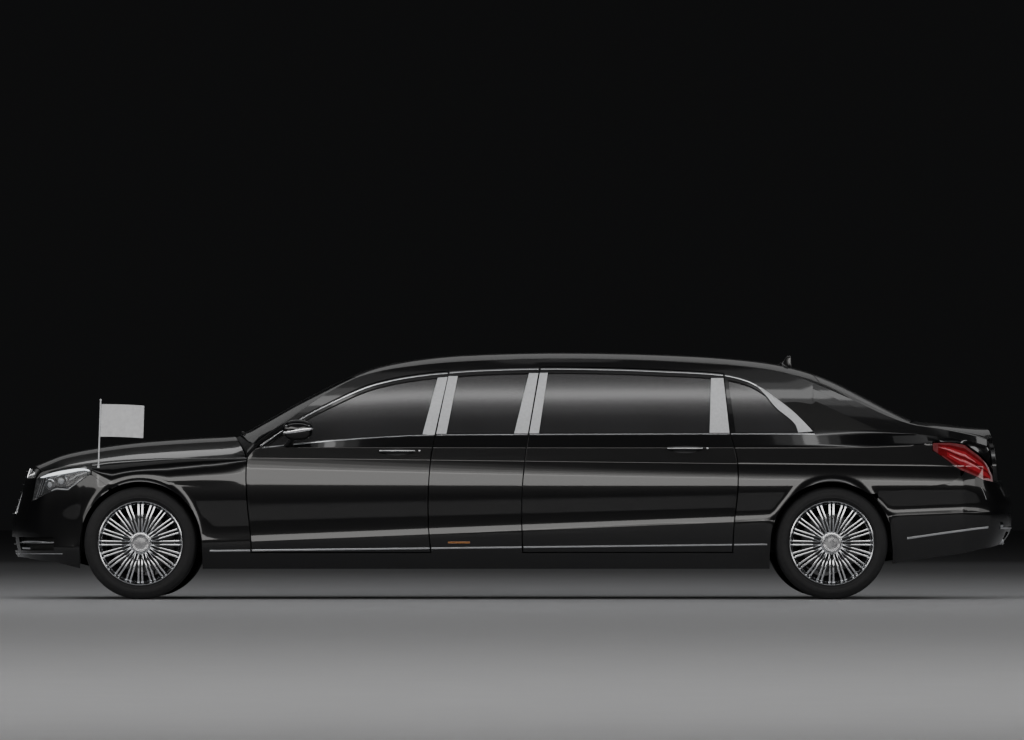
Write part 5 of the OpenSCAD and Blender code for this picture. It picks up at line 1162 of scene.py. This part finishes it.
def antenna():
    rows, n = 11, 24

    def at(i, j):
        t, ang = j / (rows - 1), 2 * pi * i / n
        front, rear = mixed(1690, 1788, t ** 0.85), mixed(1824, 1812, t)
        wide = 22 * (1 - t) ** 0.8 + 2.5
        x = (front + rear) / 2 + (rear - front) / 2 * cos(ang)
        taper = 0.55 + 0.45 * cos(ang)
        z = cabin_top(x, 0) * (1 - t) + (1 - t) * -3 + t * (1507 + 66 * t)
        return V(x, wide * sin(ang) * (0.35 + 0.65 * taper), z)
    s = Shape()
    s.v = [at(i, j) for j in range(rows) for i in range(n + 1)] + [V(1800, 0, 1575)]
    for j in range(rows - 1):
        for i in range(n):
            a = j * (n + 1) + i
            s.f.append((a, a + 1, a + n + 2, a + n + 1))
    tip = rows * (n + 1)
    s.f += [(tip - n - 1 + i, tip - n + i, tip) for i in range(n)]
    s.done("roof_antenna", PAINT, smooth=50)


def mirrors():
    ts = spread((0, 1, 20))
    size = []
    for t in ts:
        rounded = (1 - (2 * t - 1) ** 4) ** 0.5 if 0 < t < 1 else 0.04
        size.append(rounded * mixed(0.86, 1.0, sin(pi * clamped(t * 1.1, 0, 1))))
    for word, side in SIDES:
        body = "door_front_" + word
        s = Shape()
        path = [V(-1372 + 8 * t, -mixed(944, 1060, t), 1080 + 6 * t) for t in ts]
        sweep(s, path, [96 * k for k in size], [66 * k for k in size], 36, power=0.82)
        s.done("mirror_shell_" + word, PAINT, body, 50, side, "mirror_" + word, "black_paint")
        s = Shape()
        foot = V(-1432, -side_y(-1432, belt_z(-1432) - 22) - 2, belt_z(-1432) - 15)
        tip = V(-1392, -952, 1058)
        path = [foot.lerp(tip, t) + V(0, 0, -6 * sin(pi * t)) for t in spread((0, 1, 10))]
        sweep(s, path, spread((34, 24, 10)), spread((9, 14, 10)), 20, power=0.8)
        s.done("mirror_arm_" + word, PAINT, body, 50, side)
        s = Shape()
        path = []
        for i in range(25):
            a = mixed(0.10, pi * 0.86, i / 24)
            z = 1088 - 20 * i / 24 + 4 * sin(a * 2)
            path.append(V(-1368 + 99 * cos(a), -1010 - 48 * sin(a) ** 0.6, z))
        sweep(s, path, 3.0, [11 * sin(pi * (i + 1.5) / 27) ** 0.5 for i in range(25)], 12, power=0.8)
        s.done("mirror_light_" + word, BULB, body, 50, side)
        g = [[V(-1278, -y, z) for y in spread((1046, 962, 10))] for z in spread((1033, 1133, 8))]
        Shape().shell(moved(g, (4, 0, 0)), g).done("mirror_glass_" + word, CHROME, body, 40, side)


GRILLE_Z = (546.0, 838.0)
SLATS = 5


def grille_x(y, z):
    return mixed(-3236, -3142, (z - GRILLE_Z[0]) / (GRILLE_Z[1] - GRILLE_Z[0])) + 0.12 * abs(y)


def grille_w(z):
    return mixed(300, 348, clamped((z - 560) / 200.0, 0, 1))


def grille_bar(shape, z, half, back, across, up_half):
    path = [V(grille_x(y, z) + back, y, z) for y in spread((half, -half, 36))]
    sweep(shape, path, across, up_half, 12, power=0.7)


def behind_nose(depth):
    """Surface that lies a depth behind the nose."""
    return lambda v, z: nose_pt(v, z) + nose_in(v, depth)


def grille():
    z0, z1 = GRILLE_Z
    s = Shape()
    grille_bar(s, z0 + 8, grille_w(z0) - 4, -3, 12.6, 8)
    grille_bar(s, z1 - 9, grille_w(z1) - 4, -3, 12.6, 9)
    for side in (1, -1):
        path = [V(grille_x(0, z) + 0.12 * grille_w(z) - 4, side * (grille_w(z) - 10), z)
                for z in spread((z0 + 1, z1 - 1, 24))]
        sweep(s, path, 12, 10, 14, up=(0, 1, 0), power=0.7)
    for k in range(1, SLATS + 1):
        z = mixed(z0, z1, k / (SLATS + 1.0))
        grille_bar(s, z, grille_w(z) - 12, -2, 6.5, 5)
        grille_bar(s, z + 11, grille_w(z) - 14, 5, 4, 2)
    s.done("grille_bright", CHROME, node="grille", slot="chrome")
    s = Shape()
    g = [[V(grille_x(y, z) + 60, y, z) for y in spread((290, -290, 30))]
         for z in spread((z0 + 6, z1 - 20, 12))]
    s.shell(g, moved(g, (4, 0, 0)))
    s.done("radiator_screen", DARK)
    s = Shape()
    for i in range(-14, 15):
        y = i * 20.0
        path = [V(grille_x(y, z) + 42, y, z) for z in spread((z0 + 14, z1 - 22, 8))]
        sweep(s, path, 3, 2.5, 8, up=(0, 1, 0))
    s.done("grille_uprights", TRIM)
    # Bars and lips in the lower intakes
    s = Shape()
    for sa, sb, z in ((-0.3516, 0.3516, 354), (-0.8395, -0.4405, 362), (0.4405, 0.8395, 362)):
        path = [nose_any(v, z) + nose_in_any(v, 9) for v in spread((sa, sb, 24))]
        sweep(s, path, 5, 4, 10, power=0.8)
    s.done("intake_bars", CHROME, node="grille", slot="chrome")
    for word, side in SIDES:
        s = Shape()
        line = [(v, 366 + 6 * sin(pi * (v - 0.5) / 0.345)) for v in spread((0.5, 0.845, 24))]
        strip(s, line, 6, nose_pt, out_nose, proud=4, sunk=8)
        strip(s, level(328, (0.46, 0.60, 10)), 10, behind_nose(8), out_nose, proud=3, sunk=30)
        strip(s, level(291, (0.05, 0.9, 50)), 4, nose_pt, out_nose, proud=4.5, sunk=4)
        s.done("nose_bright_" + word, CHROME, side=side)
        s = Shape()
        for stretch in ((0.40, 0.84, 30), (0.0, 0.36, 20)):
            ss = spread(stretch)
            g = [[behind_nose(46)(v, z) for v in ss] for z in spread((300, 410, 8))]
            s.shell(g, [[p + nose_in(v, 4) for p, v in zip(r, ss)] for r in g])
        s.done("intake_screen_" + word, DARK, side=side)


def barrel(shape, p, d, profile, n=28):
    """Round part from (distance along d, radius) points."""
    up = (0, 0, 1) if abs(d.z) < 0.9 else (1, 0, 0)
    radii = [r for h, r in profile]
    sweep(shape, [p + d * h for h, r in profile], radii, radii, n, up=up)


def headlamps():
    ss = spread((0.606, 1.084, 56))
    rows = 14

    def grid(depth):
        return [[nose_pt(v, mixed(seg(lamp_low, v), seg(lamp_high, v), j / rows)) + nose_in(v, depth(i, j))
                 for i, v in enumerate(ss)] for j in range(rows + 1)]

    def bowl(extra):
        def depth(i, j):
            e = min(j / 2.0, (rows - j) / 2.0, i / 3.0, (len(ss) - 1 - i) / 3.0, 1.0)
            return 5 + 36 * clamped(e, 0, 1) + extra
        return depth
    for word, side in SIDES:
        s = Shape().shell(grid(lambda i, j: 0), grid(lambda i, j: 3))
        s.done("lamp_lens_" + word, LENS, "body", 40, side, "headlamps", "clear_lens")
        s = Shape().shell(grid(bowl(0)), grid(bowl(2)))
        s.done("lamp_housing_" + word, HOUSING, "body", 40, side, "headlamps", "clear_lens")
        s = Shape()
        line = [(v, seg(lamp_high, v)) for v in spread((0.66, 1.075, 38))]
        low = [(v, z - 8 - 17 * sin(pi * clamped((v - 0.66) / 0.43, 0, 1)) ** 0.7) for v, z in line]
        band(s, low, [(v, z - 4) for v, z in line], behind_nose(7), out_nose, proud=2, sunk=3)
        s.done("lamp_light_" + word, LED, side=side)
        s = Shape()
        line = [(v, seg(lamp_low, v) + 8) for v in spread((0.80, 1.03, 26))]
        strip(s, line, 4, behind_nose(8), out_nose, proud=2, sunk=3)
        hook = [(0.985, 790), (0.965, 776), (0.95, 768), (0.935, 766)]
        sweep(s, [behind_nose(14)(*p) for p in hook], 4, 4, 10)
        rise = [(v, mixed(790, 812, (v - 0.985) / 0.075)) for v in spread((0.985, 1.06, 12))]
        sweep(s, [behind_nose(12)(*p) for p in rise], 4, 4, 10)
        s.done("lamp_line_" + word, SILVER, side=side)
        bezels, balls = Shape(), Shape()
        for v, z, r in ((0.77, 734, 30), (0.87, 758, 34)):
            ring = [(0, r + 6), (16, r + 6), (19, r + 3), (19.5, r - 2), (12, r - 4)]
            barrel(bezels, behind_nose(42)(v, z), out_nose(v), ring)
            dome = [(2 + 14 * sin(a * pi / 16), max((r - 4) * cos(a * pi / 16), 0.5)) for a in range(1, 9)]
            barrel(balls, behind_nose(34)(v, z), out_nose(v), [(0, r - 4)] + dome)
        bezels.done("lamp_bezels_" + word, BULB, side=side)
        balls.done("lamp_projectors_" + word, GLASS_BALL, "body", 60, side)
        s = Shape()
        for v in (0.64, 0.668, 0.70):
            zs = spread((seg(lamp_low, v) + 12, seg(lamp_high, v) - 12, 10))
            path = [nose_pt(v + 0.035 * i / 10, z) + nose_in(v, 14) for i, z in enumerate(zs)]
            sweep(s, path, 3, 3, 8, up=(0, 1, 0))
        s.done("lamp_fins_" + word, BULB, side=side)


def tail_lamps():
    ss = spread((1.206, 0.70, 60))
    rows = 24
    g = [[tail_pt(v, mixed(seg(tail_low, v), seg(tail_high, v), j / rows)) for v in ss]
         for j in range(rows + 1)]
    inner = [[p + tail_in(ss[i], 22) for i, p in enumerate(r)] for r in g]

    def zone(r, c):
        v = ss[c]
        up = r / float(rows)
        if v < 0.735 + 0.20 * max(0, up - 0.45) ** 1.2 + 0.12 * max(0, 0.2 - up) * 5:
            return "pale"
        if r < 2 and v < 1.15 or r >= rows - 3 or v > 1.18:
            return "rose"
        return "bright" if 5 <= r < 11 and v < 1.12 or 14 <= r < 18 and v < 1.15 else "red"
    mats = {"pale": PINK, "rose": ROSE, "red": RED, "bright": RED_BRIGHT}
    for word, side in SIDES:
        for key, mat in mats.items():
            s = Shape()
            s.shell(g, inner, lambda r, c, key=key: zone(r, c) == key)
            s.done("tail_lens_%s_%s" % (key, word), mat, "body", 30, side, "tail_lamps", "red_lens")
        s = Shape()
        for sa, sb, za, zb in ((1.17, 0.90, 0.62, 0.60), (1.10, 0.86, 0.36, 0.42)):
            path = []
            for v, up in zip(spread((sa, sb, 24)), spread((za, zb, 24))):
                path.append(tail_pt(v, mixed(seg(tail_low, v), seg(tail_high, v), up)) - tail_in(v, 0.6))
            sweep(s, path, 2.2, [7 * sin(pi * (i + 1) / 26) + 0.6 for i in range(25)], 10)
        s.done("tail_glow_" + word, GLOW, side=side)


def rear_brights():
    s = Shape()
    path = []
    for y in spread((262, -262, 40)):
        across = y / (edge_y(3084) - flush_w(3084) - 5)
        path.append(V(lid_back(across * 0.94, 0.30).x + 7, y, 968))
    sweep(s, path, 9, 13, 14, power=0.75)
    s.done("lid_handle", CHROME, "trunk_lid")
    for word, side in SIDES:
        s = Shape()
        strip(s, level(456.5, (0.66, 0.30, 24)), 9.5, tail_pt, out_tail, proud=8, sunk=4)
        strip(s, level(473.5, (0.66, 0.61, 5)), 21.5, tail_pt, out_tail, proud=6, sunk=4)
        s.done("tailpipe_trim_" + word, CHROME, side=side)
        s = Shape()
        n = 40
        rings = [(-70, 33.5, 33.5), (-10, 36, 35), (2, 38, 36), (3, 36, 34), (-8, 33, 32), (-60, 31, 31)]
        for dx, ra, rb in rings:
            for k in range(n):
                a = 2 * pi * k / n
                s.v.append(V(3166 + dx, -438 + ra * cos(a), 384 + rb * sin(a)))
        for i in range(len(rings)):
            for k in range(n):
                m, j = (k + 1) % n, (i + 1) % len(rings)
                s.f.append((i * n + k, i * n + m, j * n + m, j * n + k))
        s.done("tailpipe_tip_" + word, CHROME, side=side)
        # Pale seam reflector on the bumper's corner
        s = Shape()
        seam = ((0.86, 716), (0.845, 690), (0.835, 660), (0.83, 640))
        path = [tail_pt(v, z) - tail_in(v, 0.5) for v, z in seam]
        sweep(s, path, 1.5, 2.2, 8, up=(0, 1, 0))
        s.done("corner_line_" + word, SILVER, side=side)


def tyres():
    h = tyre_w / 2
    g = 14.3
    half = [(254.3, h - 18.3), (272, h - g), (279, h - 7), (286, h - 3.4), (290, h - 1.2), (293, h - 2.4),
            (298, h - 1.0), (306, h - 0.2), (318, h - 1.4), (327, h - 4), (329, h - 5.6), (333, h - 6.4),
            (347, h - 14), (352, h - 20), (357, h - 30), (359.6, h - 46), (360.4, h - 58), (360.4, h - 60),
            (353.0, h - 61), (353.0, h - 69), (360.6, h - 70), (361, h - 92), (361, h - 101),
            (353.0, h - 102), (353.0, h - 112), (361, h - 113)]
    prof = half + [(r, -y) for r, y in reversed(half)]
    for end, ax in ENDS:
        for word, side in SIDES:
            where = "%s_%s" % (end, word)
            s = Shape()
            revolve(s, prof, (ax, -wheel_y, tyre_r), 120)
            s.done("tread_" + where, RUBBER, "wheel_" + where, 40, side, "tyre_" + where, "tyre")


SPOKES = 20
SPOKE_Y = [(64, 82), (92, 92), (130, 99.5), (165, 101), (205, 96), (248, 87)]


def spoke_pairs(shape, centre):
    for k in range(SPOKES):
        a = 2 * pi * k / SPOKES
        d, t = V(cos(a), 0, sin(a)), V(-sin(a), 0, cos(a))
        for m in (-1, 1):
            pts, wide, deep = [], [], []
            for r in (64, 76, 92, 112, 136, 160, 184, 208, 230, 248):
                out = (r - 64) / 184.0
                pts.append(V(*centre) + d * r + t * (m * mixed(9.4, 12.6, out)) + V(0, -curve(SPOKE_Y, r), 0))
                wide.append(mixed(3.8, 7.6, out ** 1.3))
                deep.append(mixed(8.0, 9.5, out))
            sweep(shape, pts, wide, deep, 8, up=(0, 1, 0), power=0.55)


def rims():
    h = tyre_w / 2
    lip = [(270, h - 14), (270, h - 6), (266, h - 4.6), (262.5, h - 6), (260.5, h - 10), (258, h - 16),
           (252, h - 23), (246, h - 30), (254, h - 30), (262, h - 18)]
    well = [(270, -h + 6), (270, -h + 14), (254, -h + 18), (254, -h + 50), (234, -h + 64), (234, h - 60),
            (254, h - 46), (254, h - 30.5), (246, h - 31), (243, h - 42), (224, h - 62), (224, -h + 66),
            (244, -h + 46), (244, -h + 6)]
    hub = [(25, 45), (76, 45), (78, 72), (76, 83), (70, 88), (62, 90.2), (25, 90.2)]
    cap = [(1, 90.4), (58, 90.4), (60.5, 94), (60.5, 99), (57, 103), (53, 104), (49, 102.5), (46, 99.5),
           (42, 98.6), (30, 99.6), (14, 100.4), (1, 100.6)]
    disc = [(60, 42), (78, 34), (78, -20), (190, -20), (190, -26), (182, -27), (182, -41), (190, -42),
            (190, -48), (60, -48)]
    for end, ax in ENDS:
        for word, side in SIDES:
            where = "%s_%s" % (end, word)
            node, body = "rim_" + where, "wheel_" + where
            c = (ax, -wheel_y, tyre_r)
            s = Shape()
            revolve(s, lip, c, 120)
            revolve(s, hub, c, 72)
            spoke_pairs(s, c)
            for k in range(5):
                a = 2 * pi * k / 5 + 0.3
                barrel(s, V(ax + 68.5 * cos(a), -wheel_y - 83, tyre_r + 68.5 * sin(a)), V(0, -1, 0),
                       [(0, 5.5), (5, 5.5), (6.2, 4.5)], 12)
            s.done("rim_face_" + where, ALLOY, body, 40, side, node, "alloy")
            for name, profile, n, mat in (("rim_cap_", cap, 72, STEEL), ("rim_well_", well, 96, WELL),
                                          ("brake_disc_", disc, 80, DISC)):
                s = Shape()
                revolve(s, profile, c, n)
                s.done(name + where, mat, body, 40, side, node, "alloy")


def superbox(shape, c, half, lean=0.0, e=0.28, n=22, m=16, crease=0.0):
    """Closed soft box: half sizes along x, y and z, leaned about Y by degrees."""
    rot = Matrix.Rotation(math.radians(lean), 3, "Y")

    def p(v, k):
        return math.copysign(abs(v) ** k, v)
    base = len(shape.v)
    for j in range(m + 1):
        b = -pi / 2 + pi * j / m
        for i in range(n):
            a = 2 * pi * i / n
            x = p(cos(b), e) * p(cos(a), e)
            y = p(cos(b), e) * p(sin(a), e)
            z = p(sin(b), e)
            dip = 1 - crease * (cos(y * pi * 2.5) ** 8)
            shape.v.append(V(*c) + rot @ V(x * half[0] * dip, y * half[1], z * half[2] * dip))
    for j in range(m):
        for i in range(n):
            k, a = (i + 1) % n, base + j * n
            shape.f.append((a + i, a + k, a + n + k, a + n + i))


def seat(name, x, y, width, facing, node, lift=0.0):
    """Padded seat whose back stands at x; facing is 1 towards the nose."""
    s = Shape()
    z = 242.0 + lift
    superbox(s, (x - facing * 235, y, z + 172), (262, width / 2, 108), 0, 0.3, 48, 20, 0.03)
    superbox(s, (x + facing * 52, y, z + 575), (88, width / 2 - 6, 325), 14 * facing, 0.3, 48, 20, 0.05)
    superbox(s, (x + facing * 140, y, z + 985), (44, width * 0.2, 78), 6 * facing, 0.45, 28, 14)
    obj = s.done(name, LEATHER, "body", 60, 1, node, "black_leather")


def cabin():
    for word, side in SIDES:
        seat("front_seat_" + word, -500, -side * 385, 530, 1, "front_seats")
    seat("facing_seat", -303 + 17 + 191, 0, 1180, -1, "rear_seats")
    seat("rear_bench", rear_axle - 330, 0, 1180, 1, "rear_seats", 24)


def flag():
    lo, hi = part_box("flag")
    x0, z1 = lo[0] * 1000, hi[2] * 1000
    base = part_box("flag_standard")
    y0 = (base[0][1] + base[1][1]) * 500
    drop = sin(math.radians(1.9)) * 208

    def at(i, j):
        u, v = i / 30, j / 14
        x = x0 + drop + u * 274 - drop * (1 - v)
        y = y0 + 9 * sin(math.radians(300 * u)) * u + 1.6 * sin(7 * u + 4 * v) * u
        return V(x, y, z1 - 0.2 - 207 * (1 - v) - 10 * u * u)
    g = grid_of(15, 31, at)
    s = Shape().shell(g, moved(g, (0, 1.0, 0)))
    cloth = s.done("flag_cloth", CLOTH, "body", 60, 1, "flag", "flag_cloth")
    s = Shape()
    sweep(s, [r[-1] + V(-1.6, 0.5, 0) for r in g[::-1]], 1.1, 2.2, 8, up=(1, 0, 0))
    for row, k in ((g[0], 1.6), (g[-1], -1.6)):
        sweep(s, [p + V(0, 0.5, k) for p in row[:-1]], 1.1, 2.0, 8)
    hem = s.done("flag_hem", CLOTH, smooth=50)


def wipers():
    for start, word in ((-300, "right"), (-180, "left")):
        s = Shape()
        path = []
        for k in range(23):
            y = start + k * 25.0
            x = -1752 + 112 * (y / 800) ** 2
            path.append(V(x, y, cabin_top(x, y) + 13))
        sweep(s, path, 6, 5, 10, power=0.8)
        s.done("wiper_" + word, TRIM)


def finish_cad():
    """Materials for the CAD nodes that are kept."""
    finish = {UNDER: ("floor_pan", "front_structure", "rear_structure", "front_housings", "rear_housings"),
              CHASSIS: ("front_subframe", "rear_subframe", "knuckle_left", "knuckle_right"),
              TRIM: ("dashboard", "partition", "cowl"), STEEL: ("exhaust",), CASTING: ("engine_block",),
              SILVER: ("flag_standard",), LEATHER: ("steering_wheel",)}
    for mat, nodes in finish.items():
        for node in nodes:
            obj = NODES[node]
            if not obj.data.materials:
                obj.data.materials.append(mat)
            for ms in obj.material_slots:
                ms.link = "OBJECT"
                ms.material = mat


for make_group in (doors, sides, lids, bumpers, window_trims, sail_shade_bands, side_strips, door_handles, antenna,
                   mirrors, grille, headlamps, tail_lamps, rear_brights, tyres, rims, cabin, flag, wipers,
                   finish_cad):
    make_group()


# Stage: pale floor, soft studio light
def area_light(name, loc, aim, size, power, colour=(1, 1, 1)):
    data = bpy.data.lights.new(name, "AREA")
    data.shape = "RECTANGLE"
    data.size, data.size_y = size
    data.energy = power
    data.color = colour
    obj = bpy.data.objects.new(name, data)
    obj.location = loc
    obj.rotation_euler = (Vector(aim) - Vector(loc)).to_track_quat("-Z", "Y").to_euler()
    coll.objects.link(obj)


FLOOR = material("studio_floor", (0.40, 0.405, 0.42), (0.44, 0.445, 0.46), 3.0, (0.45, 0.6))
floor_mesh = bpy.data.meshes.new("floor")
floor_mesh.from_pydata([(-150, -150, 0), (150, -150, 0), (150, 150, 0), (-150, 150, 0)], [], [(0, 1, 2, 3)])
floor_mesh.materials.append(FLOOR)
floor = bpy.data.objects.new("floor", floor_mesh)
coll.objects.link(floor)
world = bpy.data.worlds.new("world")
bpy.context.scene.world = world
world.use_nodes = True
world.node_tree.nodes["Background"].inputs["Color"].default_value = (0.55, 0.56, 0.58, 1)
world.node_tree.nodes["Background"].inputs["Strength"].default_value = 0.011
# One low wide light along the near side, with weaker strips above it, so that highlights fade softly
WARM = (1.0, 0.985, 0.965)
BODY = (0, 0, 0.9)
area_light("side", (0, -34, 10.3), BODY, (46, 6.3), 3500, WARM)
for k, part in enumerate((0.72, 0.45, 0.2, 0.06)):
    area_light("side_%d" % k, (0, -34, 13.95 + 1.19 * k), BODY, (46, 1.22), 680 * part, WARM)
for word, x in (("front", -1), ("rear", 1)):
    area_light("corner_" + word, (29.3 * x, -27.3, 9.9), BODY, (20, 6.3), 1100, WARM)
    area_light("end_" + word, (38.6 * x, -10.3, 9.7), BODY, (20, 5.9), 650, WARM)
for name, height, power in (("window", 0.5, 90), ("window_soft", 1.2, 60), ("window_wide", 2.2, 40)):
    area_light(name, (0, -5.4, 7.9), (0, -0.9, 1.3), (15, height), power)
area_light("top", (0, 1.5, 8.0), (0, 0, 1), (12, 4), 48)
area_light("nose", (-11, -2.0, 7.0), (-2.6, 0, 0.7), (8, 2.2), 200)
area_light("tail", (11, -1.0, 7.0), (2.8, 0, 0.8), (8, 2.2), 150)
area_light("far", (0, 34, 10.3), BODY, (46, 6.3), 160)
area_light("far_high", (0, 14, 12), BODY, (15, 2.5), 140)
